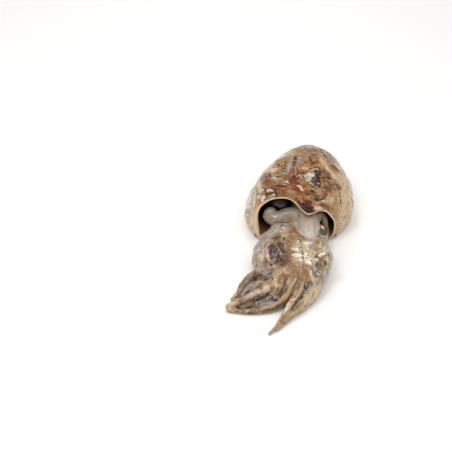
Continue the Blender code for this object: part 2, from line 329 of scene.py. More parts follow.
# The rings run from the closed end over the outside to the rim, round it, and on into the cavity.
rings, depths = [], []
end_ring = mantle_section(turn, np.full(MANTLE_SIDES, MANTLE_LENGTH), 0.0)[0]
for closing in np.radians(END_TILTS):
    ring = end_ring.mean(axis=0) + (end_ring - end_ring.mean(axis=0)) * math.sin(closing)
    ring[:, 1] += END_BULGE * math.cos(closing)
    rings.append(ring)
    depths.append(-MANTLE_LENGTH)
for share in 1 - np.linspace(0, 1, BACK_RINGS) ** RINGS_CROWD_TO_END:
    rings.append(mantle_section(turn, rim + (MANTLE_LENGTH - rim) * share, 0.0)[0])
    depths.append(-MANTLE_LENGTH * share)
for share in np.linspace(0, 1, RIM_RINGS + 2)[1:-1]:
    bulge = rim_wall / 2 * math.sin(math.pi * share)
    rings.append(mantle_section(turn, rim - bulge, rim_wall * share)[0])
    depths.append(share)
for share in np.linspace(0, 1, CAVITY_RINGS)[:-1]:
    thicker = np.maximum(MANTLE_WALL - rim_wall, 0) + (CUTTLEBONE_WALL - MANTLE_WALL) * over_bone
    inset = rim_wall + (1 - np.exp(-share * CAVITY_WALL_GROWTH)) * thicker
    ring, centre, middle = mantle_section(turn, rim + (CAVITY_DEPTH - rim) * share, inset)
    closing = math.sqrt(1 - share**4)
    ring[:, 0] = centre + (ring[:, 0] - centre) * closing
    ring[:, 2] = middle + (ring[:, 2] - middle) * closing
    rings.append(ring)
    depths.append(1 + CAVITY_DEPTH * share)

mantle_mesh = new_mesh("mantle", [loft(rings)])
smooth = places_of(mantle_mesh)
# Each point's depth: below 0 on the outside, 0 to 1 round the rim, and then how far in it lies.
depth = np.append(np.repeat(depths, MANTLE_SIDES), [depths[0], depths[-1]])
outside = step(-depth, -1.0, 3.0)

# The marks on the mantle's skin. Each is half of its breadth in millimetres and then the pixels of the
# photograph that it runs through.
MANTLE_MARKS = {
    "bare": (
        (3.5, (305.5, 177.5), (308, 176.5), (311, 174.5)),
        (2.2, (307, 180.5), (311, 179.5)),
        (1.4, (311, 170), (315, 168.5), (318, 170)),
        (1.1, (310.5, 183), (313, 184), (316.5, 187)),
        (1.2, (317, 181.5), (319, 183.5)),
        (1.6, (272.5, 177), (276.5, 178)),
        (1.1, (278, 179.2), (280.5, 178.4)),
        (2.0, (267.5, 191), (270, 189.5), (272, 190)),
        (1.7, (271, 196), (273.5, 194.5)),
        (6.6, (250, 198), (253, 193), (252, 204)),
        (2.6, (259, 197), (264, 198), (263, 201)),
        (0.6, (287, 173), (288.5, 169), (289.5, 165)),
    ),
    "pink": (
        (2.4, (271, 169.5), (273.5, 171), (275.5, 168.5)),
        (1.2, (267, 174.5)),
        (1.4, (298, 185.5), (301, 187), (302.5, 190.5)),
        (0.9, (297.5, 176.5), (300.5, 175)),
        (2.8, (316.5, 209), (319, 208), (321, 209)),
        (1.0, (324, 190)),
        (0.8, (311, 215), (314, 214.5)),
        (4.0, (250, 213), (252, 222)),
    ),
    "grey": (
        (2.3, (286.5, 173), (288, 169.5)),
        (2.8, (289.5, 167), (290.5, 163)),
        (2.2, (291, 160), (292.5, 157)),
        (2.6, (299.5, 157), (300, 162)),
        (2.6, (270, 176), (279, 180)),
        (2.6, (312, 178), (318, 184)),
        (2.0, (304, 207), (308, 210)),
        (4.0, (305, 147), (316, 148)),
        (3.0, (325, 158), (332, 163)),
    ),
    "pale": (
        (0.8, (329, 173), (333, 176.5), (337, 179), (342, 181)),
        (0.8, (336, 174), (341, 175.5), (344, 178)),
        (0.7, (333, 204), (336, 209), (338, 214)),
        (0.6, (341, 190), (343, 200), (344, 210)),
        (0.7, (337, 192), (337, 203)),
        (0.6, (295, 196), (300, 198)),
    ),
    "dark": (
        (2.3, (316, 171), (317.5, 175), (317.5, 181)),
        (2.0, (312.5, 181), (316, 184.5)),
        (1.2, (315, 166), (319, 168), (320.2, 174), (319.8, 180), (319.5, 186)),
        (1.0, (303, 174), (306, 171.5), (309, 169.8), (312, 168.2)),
        (1.0, (303.5, 176), (304, 180), (309.5, 184), (312.5, 186.5), (317, 188.5)),
        (1.8, (312.5, 178.5), (314.5, 181), (319, 186)),
        (1.5, (293.5, 164.5), (294.3, 161.5)),
        (2.0, (295, 159), (296.3, 156.5)),
        (0.9, (276, 163), (279, 165), (283, 167.5), (286, 169)),
        (0.8, (283, 160.5), (285, 163), (285.5, 166)),
        (0.9, (282, 171), (286, 171.5)),
        (1.4, (269, 173.5), (270.5, 176.5)),
        (1.0, (272, 180.5), (275, 181.8)),
        (1.1, (278, 181.2), (281, 180)),
        (0.9, (276, 175.5), (280, 177.5)),
        (1.2, (264.7, 188.5), (265.5, 191.5), (267, 194.5), (271, 192.5), (274.5, 192), (276.5, 195)),
        (1.0, (270.5, 187.5), (274, 189), (276, 190.5)),
        (1.5, (275.5, 193), (276.5, 197)),
        (1.0, (291.5, 180), (295, 177)),
        (1.0, (309.5, 158), (311, 161.5)),
        (0.9, (261, 187), (265.5, 187.5)),
        (1.2, (279, 186), (284, 186.5)),
        (0.9, (271.5, 198.5), (275, 197.7), (280, 198.3), (287, 200.5)),
        (1.2, (267, 195.5), (264.5, 199), (262, 204)),
        (1.0, (255.5, 186), (257, 189), (257, 193.5), (259, 194.5)),
        (3.6, (302, 205.5), (306, 208), (310, 211), (312, 213)),
        (2.4, (305, 211.5), (310, 214)),
        (2.4, (310, 207), (313, 209.5)),
        (1.5, (299, 202), (300, 206)),
        (1.4, (311, 190), (313, 192)),
        (1.7, (317, 199.5), (320, 200)),
        (0.9, (312, 197.5), (316, 199), (323, 199)),
        (1.2, (339, 193), (339.5, 199), (340.5, 204)),
        (1.4, (317, 147), (320, 149), (323, 153)),
        (1.4, (324, 155), (328, 159)),
        (1.0, (331, 158), (334, 162)),
        (0.9, (305, 193), (309, 196)),
        (0.9, (322, 179), (327, 177), (330, 181)),
        (0.9, (259, 176), (262, 179), (261, 183)),
        (0.9, (326, 206), (328, 208)),
        (1.2, (346, 214), (345, 222), (342, 230)),
        (6.2, (303.5, 207), (307, 209.5), (311, 211.5)),
    ),
    "deep": (
        (2.5, (310, 157), (311, 161), (313, 163)),
        (3.0, (291, 179.5), (294.5, 178), (297, 175.5), (299, 173)),
        (2.8, (294, 181), (296, 184), (295, 188)),
        (1.8, (276, 185.5), (281, 186), (285, 186.5)),
        (1.8, (303, 200), (307, 202), (311, 202.5)),
        (1.8, (312, 208), (314, 212)),
        (6.0, (303, 206), (311, 211)),
        (1.5, (299, 191), (301, 194)),
        (2.1, (297, 199), (299, 204)),
    ),
    "rust": (
        (4.1, (306, 163), (311, 164), (316, 162)),
        (5.0, (289, 177), (297, 172), (303, 172)),
        (4.4, (292, 182), (297, 188), (300, 193)),
        (3.6, (266, 185), (270, 183.5), (277, 184), (286, 186)),
        (4.4, (275, 188), (282, 191)),
        (3.0, (266, 177), (270, 182)),
        (3.6, (303, 199), (311, 201.5)),
        (4.8, (311, 152), (317, 150)),
        (2.9, (303, 193), (308, 190), (304, 186)),
        (1.9, (345, 230), (343, 236)),
    ),
    "brown": (
        (4.0, (292, 168), (286, 178), (288, 184)),
        (5.0, (294, 174), (296, 185)),
        (2.4, (286, 184), (290, 188)),
        (5.6, (272, 189), (284, 195)),
        (4.5, (265, 182), (270, 186)),
        (3.4, (263, 176), (268, 177)),
        (5.0, (323, 172), (329, 181), (327, 189)),
        (3.0, (334, 167), (340, 172)),
        (4.0, (309, 193), (317, 197), (324, 196)),
        (3.0, (322, 205), (328, 208)),
        (4.0, (333, 184), (338, 187)),
        (3.0, (280, 198), (290, 202), (297, 206)),
        (3.0, (263, 170), (268, 166)),
        (3.0, (313, 155), (318, 158)),
    ),
    "fair": (
        (2.8, (320, 158), (326, 166), (330, 172), (336, 178)),
        (5.0, (257, 181), (261, 190)),
        (7.0, (278, 158), (288, 154)),
        (5.0, (272, 164), (264, 174)),
        (9.0, (345, 190), (345, 215), (340, 228)),
        (4.0, (323, 201), (330, 199)),
        (5.0, (250, 210), (254, 226)),
        (7.0, (250, 194), (252, 208)),
        (2.6, (306, 168), (300, 170)),
    ),
}
# Marks of these kinds are stains that fade out at their edges. The others end in a line.
SOFT_MARKS = ("grey", "rust", "deep", "brown", "fair")


def note_marks(mesh, points, marks, where=1.0):
    """Lays each kind of mark on the mesh and keeps it under its name."""
    tree = tree_of(mesh, points)
    bent_places = crooked(crooked(points, 5.0, 1.2), 1.8, 0.5)
    for kind, strokes in marks.items():
        note(mesh, kind, marked(bent_places, laid(tree, strokes), kind in SOFT_MARKS) * where)


note_marks(mantle_mesh, smooth, MANTLE_MARKS, outside)


def read_back(mesh, name):
    """The value that the mesh keeps under this name at every point."""
    return values_of(mesh.attributes[name].data, "value", 1)[:, 0].astype(float)


def note_more(mesh, name, values):
    """Adds to a mark that the mesh already keeps."""
    both = np.maximum(read_back(mesh, name), values)
    mesh.attributes[name].data.foreach_set("value", both.astype(np.float32))


# Behind and below, where no mark was laid, the skin is worn and stained in the same way. Each kind has
# the size of its patches, how high the noise has to rise to make one, and a shift that sets it apart.
HIDDEN_PATCHES = {
    "rust": (26, 0.14, 11.0),
    "brown": (18, 0.08, 23.0),
    "grey": (20, 0.26, 37.0),
    "fair": (26, 0.14, 53.0),
    "deep": (16, 0.40, 41.0),
    "bare": (15, 0.46, 67.0),
    "dark": (12, 0.46, 83.0),
}
to_camera = camera_place - MOUTH_FROM_ORIGIN - smooth
to_camera /= np.linalg.norm(to_camera, axis=1)[:, None]
hidden = step(0.30 - np.sum(normals_of(mantle_mesh) * to_camera, axis=1), 0, 0.25) * outside
for kind, (size, least, shift) in HIDDEN_PATCHES.items():
    note_more(mantle_mesh, kind, 0.9 * hidden * step(lumps(smooth, size, 2, shift), least, least + 0.4))

# The relief of the flesh: lumps of three sizes, the bare and dark patches sunk into it, and none of it
# where the belly is pressed on the table.
mantle_bare = read_back(mantle_mesh, "bare")
mantle_dark = read_back(mantle_mesh, "dark")
standing = step(smooth[:, 2], 1.0, 8.0)
relief = 0.9 * lumps(smooth, 17) + 0.45 * lumps(smooth, 6, shift=7.0) + 0.16 * lumps(smooth, 2.2, shift=3.0)
relief = relief * standing * (0.25 + 0.75 * outside)
relief -= (0.30 * step(mantle_bare, 0.35, 0.65) + 0.35 * step(mantle_dark, 0.3, 0.8)) * outside
# A few long folds run back from the rim along the right flank, where the muscle has slackened. Each is
# half of its breadth and the places that it runs through.
MANTLE_FOLDS = (
    (1.6, (37, 3, 5), (38, 5, 18), (39, 14, 32), (39, 30, 43), (33, 52, 47)),
    (1.4, (46, 12, 20), (47, 24, 31), (44, 44, 38)),
    (1.4, (27, 4, 40), (31, 16, 44), (30, 34, 48)),
)
folds = np.zeros(len(smooth))
for breadth, *path in MANTLE_FOLDS:
    gap = away_from(smooth + (1.5 * lumps(smooth, 14, 2))[:, None] * (1, 0, 0), path)
    banks = np.exp(-(((gap - 2.4 * breadth) / (1.3 * breadth)) ** 2))
    folds += 0.7 * banks - np.exp(-((gap / breadth) ** 2))
relief += folds * standing * outside
move_to(mantle_mesh, smooth + normals_of(mantle_mesh) * relief[:, None])

# What the material reads beside the marks: the inside, the depth in the cavity, which sets the lining's
# painted shade, the furrows' painted shade with painted highlights on the folds' banks, and the direction
# of the grain, which runs lengthwise.
inside = step(depth, -0.4, 0.35)
along_rim = np.append(np.tile(turn, len(rings)), [0, 0])
around_mm = np.radians(along_rim) * MANTLE_MEAN_RADIUS
near_rim = np.exp(-np.clip(-depth, 0, None) / 4.0) * outside
flank = np.maximum(step(smooth[:, 0], 26, 44), step(-smooth[:, 0], 36, 50)) * step(115 - smooth[:, 1], 0, 40)
fair = np.maximum(0.8 * flank * step(60 - smooth[:, 2], 8, 22), 0.5 * near_rim)
note_more(mantle_mesh, "fair", fair)
note(mantle_mesh, "inside", inside)
note(mantle_mesh, "depth", np.clip(depth - 0.4, 0, None))
note(mantle_mesh, "furrow_shade", np.clip(-folds, -0.5, 1) * 0.45 * outside)
note(mantle_mesh, "grain", np.stack([smooth[:, 1], around_mm, smooth[:, 2] * 0], axis=1))


def tone(red, green, blue):
    """A colour as seen, from 0 to 255, as the light that it reflects."""
    seen = np.array([red, green, blue]) / 255
    light = np.where(seen <= 0.04045, seen / 12.92, ((seen + 0.055) / 1.055) ** 2.4)
    return (*light.tolist(), 1.0)


class Shading:
    """The look of one material, built from nodes. Each call that puts nodes down gives the last
    one's output."""

    def __init__(self, name):
        self.matter = bpy.data.materials.new(name)
        self.matter.use_nodes = True
        self.tree = self.matter.node_tree
        self.shader = self.tree.nodes["Principled BSDF"]

    def put(self, kind, inputs, output=0, **settings):
        """Puts down one node with its settings, and feeds its inputs."""
        made = self.tree.nodes.new(kind)
        for key, value in settings.items():
            setattr(made, key, value)
        for key, value in inputs.items():
            self.feed(made.inputs[key], value)
        return made.outputs[output]

    def feed(self, socket, value):
        """Links a node's output to the socket, or sets the socket itself to a number or colour."""
        if isinstance(value, bpy.types.NodeSocket):
            self.tree.links.new(value, socket)
        else:
            socket.default_value = value

    def finish(self, **values):
        """Sets numbers that are the same all over the surface, by the sockets' names."""
        for name, value in values.items():
            self.shader.inputs[name.replace("_", " ").title().replace("Ior", "IOR")].default_value = value

    def kept(self, name, output="Fac"):
        """What the mesh keeps under this name."""
        return self.put("ShaderNodeAttribute", {}, output, attribute_name=name)

    def place(self):
        """Where the point lies, in millimetres."""
        spot = self.put("ShaderNodeTexCoord", {}, "Object")
        return self.put("ShaderNodeVectorMath", {0: spot, "Scale": 1 / MM}, operation="SCALE")

    def stretched(self, vector, scales):
        """The place with each of its axes scaled, so that what is drawn there gets longer."""
        return self.put("ShaderNodeVectorMath", {0: vector, 1: scales}, operation="MULTIPLY")

    def cloud(self, vector, size, detail=4.0, rough=0.6, warp=0.0):
        """Noise spread over 0 to 1, whose clouds are of the given size."""
        inputs = {"Vector": vector, "Scale": 1 / size, "Detail": detail, "Roughness": rough}
        raw = self.put("ShaderNodeTexNoise", {**inputs, "Distortion": warp})
        return self.put("ShaderNodeMapRange", {"Value": raw, "From Min": 0.30, "From Max": 0.70})

    def sum(self, first, second, times=1.0):
        """first + second x times."""
        return self.put("ShaderNodeMath", {0: second, 1: times, 2: first}, operation="MULTIPLY_ADD")

    def shifted(self, vector, shift):
        """The place moved aside, so that the same noise gives another pattern."""
        return self.put("ShaderNodeVectorMath", {0: vector, 1: shift})

    def times(self, first, second):
        """first x second."""
        return self.put("ShaderNodeMath", {0: first, 1: second}, operation="MULTIPLY")

    def rise(self, value, low, high, bottom=0.0, top=1.0):
        """Smoothly from bottom to top as the value goes from low to high."""
        inputs = {"Value": value, "From Min": low, "From Max": high, "To Min": bottom, "To Max": top}
        return self.put("ShaderNodeMapRange", inputs, interpolation_type="SMOOTHSTEP")

    def over(self, under, amount, colour):
        """One colour laid over another by the given amount."""
        return self.put("ShaderNodeMix", {0: amount, 6: under, 7: colour}, 2, data_type="RGBA")


# How far noise bends the edges of the skin's fine cells, in millimetres.
CELL_BEND = 4.0


def skin(look, tones, place, cell_size, speckle, cracks):
    """The colour and the fine relief of mottled skin. The marks kept on the mesh say where it is worn
    bare, stained or dark, and noise gives each of them a soft, a ragged or a broken edge."""
    broad = look.cloud(place, 14, 2, 0.5, 0.5)
    mottle = look.cloud(place, 5.0, 5, 0.6, 0.8)
    blots = look.cloud(place, 2.6, 4, 0.6, 0.5)
    specks = look.cloud(place, 1.3, 2, 0.6)
    other = look.cloud(look.shifted(place, (31.0, 17.0, 5.0)), 3.4, 4, 0.6, 0.5)
    streaks = look.cloud(look.stretched(look.kept("grain", "Vector"), (0.25, 1.0, 1.0)), 3.2, 4, 0.6, 0.6)
    uneven = look.rise(look.sum(look.sum(look.times(mottle, 0.5), blots, 0.3), specks, 0.2), 0.25, 0.75)
    fine = look.rise(look.sum(look.times(blots, 0.75), specks, 0.25), 0.15, 0.60)

    def soft(name, most=0.88):
        return look.rise(look.times(look.kept(name), look.sum(0.5, uneven)), 0.12, 0.95, 0.0, most)

    def ragged(name, most=0.92):
        return look.rise(look.times(look.kept(name), look.sum(0.6, uneven, 0.9)), 0.40, 0.76, 0.0, most)

    def broken(name, most=0.92):
        return look.rise(look.times(look.kept(name), look.sum(0.6, fine, 0.8)), 0.36, 0.92, 0.0, most)

    # The ground: light and middling brown in clouds, with brown blots, pale ones and dark freckles.
    clouded = look.rise(look.sum(look.times(broad, 0.5), mottle, 0.5), 0.30, 0.70)
    colour = look.over(tones["light"], clouded, tones["mid"])
    colour = look.over(colour, look.rise(blots, 0.45, 0.90, 0.0, 0.85 * speckle), tones["brown"])
    colour = look.over(colour, look.rise(other, 0.60, 0.95, 0.0, 0.6), tones["pale"])
    freckles = look.rise(look.sum(look.times(specks, 0.6), mottle, 0.4), 0.56, 0.80, 0.0, 0.7 * speckle)
    colour = look.over(colour, freckles, tones["speck"])

    # The stains, each in its own tone with a second one clouded over it.
    fair_tone = look.over(tones["fair"], look.rise(streaks, 0.40, 0.95, 0.0, 0.65), tones["fair_streak"])
    stains = (
        ("fair", fair_tone, (0.60, 1.00, 0.0, 0.7), "mid"),
        ("brown", tones["brown"], (0.50, 0.90, 0.0, 0.6), "speck"),
        ("rust", tones["rust"], (0.45, 0.90, 0.0, 0.7), "mid"),
        ("grey", tones["grey"], (0.35, 0.85, 0.0, 1.0), "grey_shade"),
    )
    for kind, stain, clouding, second in stains:
        clouded_stain = look.over(stain, look.rise(other, *clouding), tones[second])
        colour = look.over(colour, soft(kind), clouded_stain)
    colour = look.over(colour, soft("deep", 0.92), tones["deep_rust"])

    # Thin dark veins, where a cloud of noise crosses its middle value.
    vein = look.cloud(look.shifted(place, (3.0, 41.0, 9.0)), 9.0, 4, 0.55, 1.2)
    vein = look.put("ShaderNodeMath", {0: vein, 1: 0.5, 2: 0.05}, operation="COMPARE")
    vein = look.times(vein, look.rise(other, 0.45, 0.75, 0.0, 0.45 * speckle))
    colour = look.over(colour, vein, tones["edge"])

    # Bare flesh, cracked into small cells and edged with torn skin.
    bend = look.put("ShaderNodeTexNoise", {"Vector": place, "Scale": 0.35, "Detail": 2.0}, "Color")
    bending = {0: bend, 1: (CELL_BEND,) * 3, 2: place}
    bent = look.put("ShaderNodeVectorMath", bending, operation="MULTIPLY_ADD")
    cells = {"Vector": bent, "Scale": 1 / cell_size}
    gap = look.put("ShaderNodeTexVoronoi", cells, "Distance", feature="DISTANCE_TO_EDGE")
    crack = look.rise(look.sum(gap, blots, 0.10), 0.05, 0.15, 1.0, 0.0)
    cell = look.put("ShaderNodeSeparateColor", {0: look.put("ShaderNodeTexVoronoi", cells, "Color")})
    bare_value = look.times(look.kept("bare"), look.sum(0.6, uneven, 0.9))
    bare = look.rise(bare_value, 0.38, 0.70)
    torn = look.rise(other, 0.35, 0.75, 0.0, 0.15 + 0.7 * cracks)
    edge = look.times(look.rise(bare_value, 0.15, 0.40), torn)
    colour = look.over(colour, edge, tones["edge"])
    bare_tone = look.over(tones["bare"], look.rise(cell, 0.30, 0.80), tones["bare_shade"])
    bare_tone = look.over(bare_tone, look.rise(blots, 0.55, 0.95, 0.0, 0.6), tones["bare_shade"])
    skinned = look.rise(look.sum(cell, other, 0.3), 0.95, 1.15, 0.0, 1.4 * cracks)
    bare_tone = look.over(bare_tone, skinned, tones["mid"])
    bare_tone = look.over(bare_tone, look.times(crack, cracks), tones["edge"])
    colour = look.over(colour, bare, bare_tone)

    # Raw pink spots; pale streaks, among them painted highlights and glints; dark marks, among them painted
    # shade in crevices; then painted shade in furrows and painted highlights on ridges.
    raw_tone = look.over(tones["pink"], look.rise(blots, 0.45, 0.9, 0.0, 0.8), tones["pink_shade"])
    colour = look.over(colour, ragged("pink"), raw_tone)
    colour = look.over(colour, ragged("pale", 0.7), tones["cream_and_highlight"])
    dark_tone = look.over(tones["dark"], look.rise(other, 0.55, 0.95, 0.0, 0.75), tones["dark_fleck"])
    colour = look.over(colour, broken("dark"), dark_tone)
    furrow_shade = look.sum(look.kept("furrow_shade"), uneven, 0.2)
    furrow_shade_tone = look.over(tones["furrow_shade"], look.rise(other, 0.5, 0.9), tones["speck"])
    colour = look.over(colour, look.rise(furrow_shade, 0.35, 1.3, 0.0, 0.85), furrow_shade_tone)
    colour = look.over(colour, look.rise(furrow_shade, 0.0, -0.5, 0.0, 0.6), tones["ridge_highlight"])
    height = look.sum(look.sum(look.sum(mottle, blots, 0.5), specks, 0.3), streaks, 0.4)
    height = look.sum(look.sum(height, look.times(crack, bare), -0.7), bare, 0.3)
    return colour, height, mottle


BUMP_DEPTH = 0.4
FILM_RELIEF = 0.2


def wet(look, colour, height, roughness, relief, film):
    """A wet surface: soft light from just under it, and water's gloss over it. The film of water
    fills the skin's finest relief, so it follows only a part of it. Its index of refraction says how
    strongly it mirrors."""
    for socket, part in (("Normal", 1.0), ("Coat Normal", FILM_RELIEF)):
        inputs = {"Height": height, "Strength": part * relief, "Distance": BUMP_DEPTH * MM}
        look.feed(look.shader.inputs[socket], look.put("ShaderNodeBump", inputs))
    look.feed(look.shader.inputs["Base Color"], colour)
    look.feed(look.shader.inputs["Roughness"], roughness)
    look.finish(subsurface_weight=0.12, subsurface_radius=(1.0, 0.5, 0.3), subsurface_scale=1.5 * MM)
    look.finish(specular_ior_level=0.08, coat_weight=1.0, coat_roughness=0.08, coat_ior=film)


MANTLE_TONES = {
    "light": tone(174, 140, 100),
    "mid": tone(144, 104, 64),
    "brown": tone(104, 68, 38),
    "speck": tone(66, 42, 27),
    "pale": tone(194, 164, 124),
    "rust": tone(134, 68, 26),
    "deep_rust": tone(104, 34, 10),
    "fair": tone(218, 192, 160),
    "fair_streak": tone(158, 126, 94),
    "grey": tone(162, 151, 144),
    "grey_shade": tone(114, 96, 88),
    "bare": tone(216, 207, 196),
    "cream_and_highlight": tone(212, 192, 164),
    "bare_shade": tone(176, 160, 144),
    "pink": tone(220, 192, 172),
    "pink_shade": tone(186, 148, 122),
    "edge": tone(66, 40, 26),
    "dark": tone(40, 25, 20),
    "dark_fleck": tone(88, 66, 54),
    # Painted shade for furrows and a painted highlight for ridges.
    "furrow_shade": tone(84, 54, 34),
    "ridge_highlight": tone(206, 180, 150),
}
look = Shading("mantle skin")
colour, height, mottle = skin(look, MANTLE_TONES, look.place(), cell_size=4.6, speckle=0.7, cracks=0.2)
# The lining is cream at the rim and gets painted shade in steps, darker the deeper it lies in the
# cavity. Each step is how unevenly it comes, the depths between which it comes, and its tone.
LINING_SHADE_STEPS = (
    (1.0, 0.55, 2.4, tone(182, 148, 112)),
    (6.0, 6.0, 14.0, tone(156, 104, 70)),
    (6.0, 16.0, 34.0, tone(52, 30, 20)),
)
lining_with_shade = tone(216, 192, 160)
for unevenness, low, high, deeper_shade in LINING_SHADE_STEPS:
    shade_reached = look.rise(look.sum(look.kept("depth"), mottle, unevenness), low, high)
    lining_with_shade = look.over(lining_with_shade, shade_reached, deeper_shade)
colour = look.over(colour, look.kept("inside"), lining_with_shade)
wet(look, colour, height, look.rise(mottle, 0.2, 0.8, 0.34, 0.50), relief=0.45, film=1.2)
mantle_skin = look.matter
mantle_piece = piece("mantle", mantle_mesh, mantle_skin)
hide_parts("cuttlefish")

# The fins: a soft ribbon of muscle down each flank, joined to the mantle along its upper edge. Out of
# water they have folded down to the table, and their free edges ripple.
FIN_THICKNESS = 3.4
FIN_SPAN = (7.0, 126.0)
FIN_START_LENGTH = 14.0
# How far the ribbon's root, elbow and edge are sunk into the flank or stand out from it, and how high
# they lie, the first two as a share of the mantle's height.
FIN_ROOT_SINK = 2.6
FIN_ROOT_RISE = 0.60
FIN_ELBOW_SINK = 1.6
FIN_ELBOW_REACH = 2.6
FIN_ELBOW_RISE = 0.36
FIN_EDGE_SINK = 3.4
FIN_EDGE_HEIGHT = 2.2
# Each fin is the side that it lies on, and how far it stands out at places along the mantle.
FIN_REACH = {
    "left": (-1, ((0, 0.5), (12, 3.0), (30, 4.4), (55, 4.4), (80, 0.8), (128, 0.0))),
    "right": (1, ((0, 4.5), (8, 5.0), (22, 2.6), (45, 3.8), (80, 2.4), (128, 0.0))),
}
FIN_RINGS = 240
FIN_LINE_POINTS = 29


def fin(side, reach):
    """One fin as a closed ribbon, bent from its root out over the elbow and down to its free edge."""
    rings = []
    for place in np.linspace(*FIN_SPAN, FIN_RINGS):
        centre, half_width, top, belly = through(MANTLE, np.array([place]))[0]
        out = through(reach, np.array([place]))[0, 0]
        ripple = 0.9 * math.sin(place / 5.2 + side) + 0.6 * math.sin(place / 2.7)
        grown = min(1.0, (place - FIN_SPAN[0]) / FIN_START_LENGTH)
        flank_x = centre + side * half_width
        elbow_out = grown * (1.8 * out + FIN_ELBOW_REACH + ripple) - FIN_ELBOW_SINK
        edge_out = grown * (0.3 * out + ripple) - FIN_EDGE_SINK
        root = np.array([flank_x - side * FIN_ROOT_SINK, FIN_ROOT_RISE * top])
        elbow = np.array([flank_x + side * elbow_out, FIN_ELBOW_RISE * top])
        edge = np.array([flank_x + side * edge_out, max(belly, 0) + FIN_EDGE_HEIGHT])
        shares = np.linspace(0, 1, FIN_LINE_POINTS)
        line = np.array([(1 - t) ** 2 * root + 2 * t * (1 - t) * elbow + t**2 * edge for t in shares])
        heading = np.gradient(line, axis=0)
        heading /= np.linalg.norm(heading, axis=1)[:, None]
        radius = FIN_THICKNESS / 2 * (0.12 + 0.88 * step(shares, 0.0, 0.45)) * (1 - 0.35 * shares)
        normal = np.stack([-heading[:, 1], heading[:, 0]], axis=1) * radius[:, None]
        tip = line[-1] + heading[-1] * radius[-1] * np.array([[0.5], [0.87], [1.0], [0.87], [0.5]])
        tip += np.array([0.87, 0.5, 0.0, -0.5, -0.87])[:, None] * normal[-1]
        ring = np.concatenate([line + normal, tip, (line - normal)[::-1]])
        rings.append(np.stack([ring[:, 0], np.full(len(ring), place), ring[:, 1]], axis=1))
    return loft(rings)


# The marks on the fins' skin, given like the mantle's.
FIN_MARKS = {
    "bare": ((6.0, (249, 196), (247, 206), (249, 212)),),
    "dark": ((0.8, (352, 196), (353, 206), (350, 218)), (0.8, (346, 224), (343, 234))),
    "rust": ((1.2, (344, 228), (342, 234)),),
    "brown": ((3.0, (352, 188), (353, 198)),),
    "pale": ((0.7, (349, 196), (350, 210)),),
}
for side_name, shape in FIN_REACH.items():
    fin_mesh = new_mesh("fin_" + side_name, [fin(*shape)])
    fin_smooth = places_of(fin_mesh)
    crinkle = 0.5 * lumps(fin_smooth, 7) + 0.25 * lumps(fin_smooth, 2.5, shift=5.0)
    note_marks(fin_mesh, fin_smooth, FIN_MARKS)
    move_to(fin_mesh, fin_smooth + normals_of(fin_mesh) * crinkle[:, None])
    empty = np.zeros(len(fin_smooth))
    for plain in ("pink", "deep", "grey", "inside", "depth", "furrow_shade"):
        note(fin_mesh, plain, empty)
    note(fin_mesh, "fair", 0.8 * step(115 - fin_smooth[:, 1], 0, 40))
    note(fin_mesh, "grain", np.stack([fin_smooth[:, 1], fin_smooth[:, 2], empty], axis=1))
    piece("fin_" + side_name, fin_mesh, mantle_skin)

# The head and arms, with the neck and collar that join them to the mantle: one mass of muscle. The
# head lies flat, with a bulge round each eye. Eight short arms and the two long ones lie in folds over
# each other, all swept to the left. The neck and collar are bare pale muscle, ridged lengthwise.
HEAD_SIDES = 120
HEAD_RINGS = 110
HEAD_WIDEST_HEIGHT = 0.46
HEAD_POWERS = (0.9, 0.85)
HEAD_VOXEL = 0.68
LIMB_CAP_REACH = 0.7
LIMB_CAP_SIZE = 0.65
# Each row is a place along the head, the middle of its width, half of its width, and its height.
HEAD = (
    (-106.0, -10.0, 8.0, 8.0),
    (-95.0, -8.5, 18.5, 17.0),
    (-85.0, -9.6, 24.5, 23.5),
    (-74.0, -10.2, 29.2, 28.5),
    (-65.0, -11.2, 33.0, 30.4),
    (-55.0, -11.6, 36.4, 30.8),
    (-45.0, -10.8, 37.6, 30.4),
    (-33.0, -9.8, 36.4, 29.4),
    (-22.0, -8.8, 32.6, 27.8),
    (-13.0, -6.2, 28.0, 24.4),
    (-7.0, -3.8, 23.5, 18.0),
    (-1.0, -3.0, 18.0, 9.0),
)
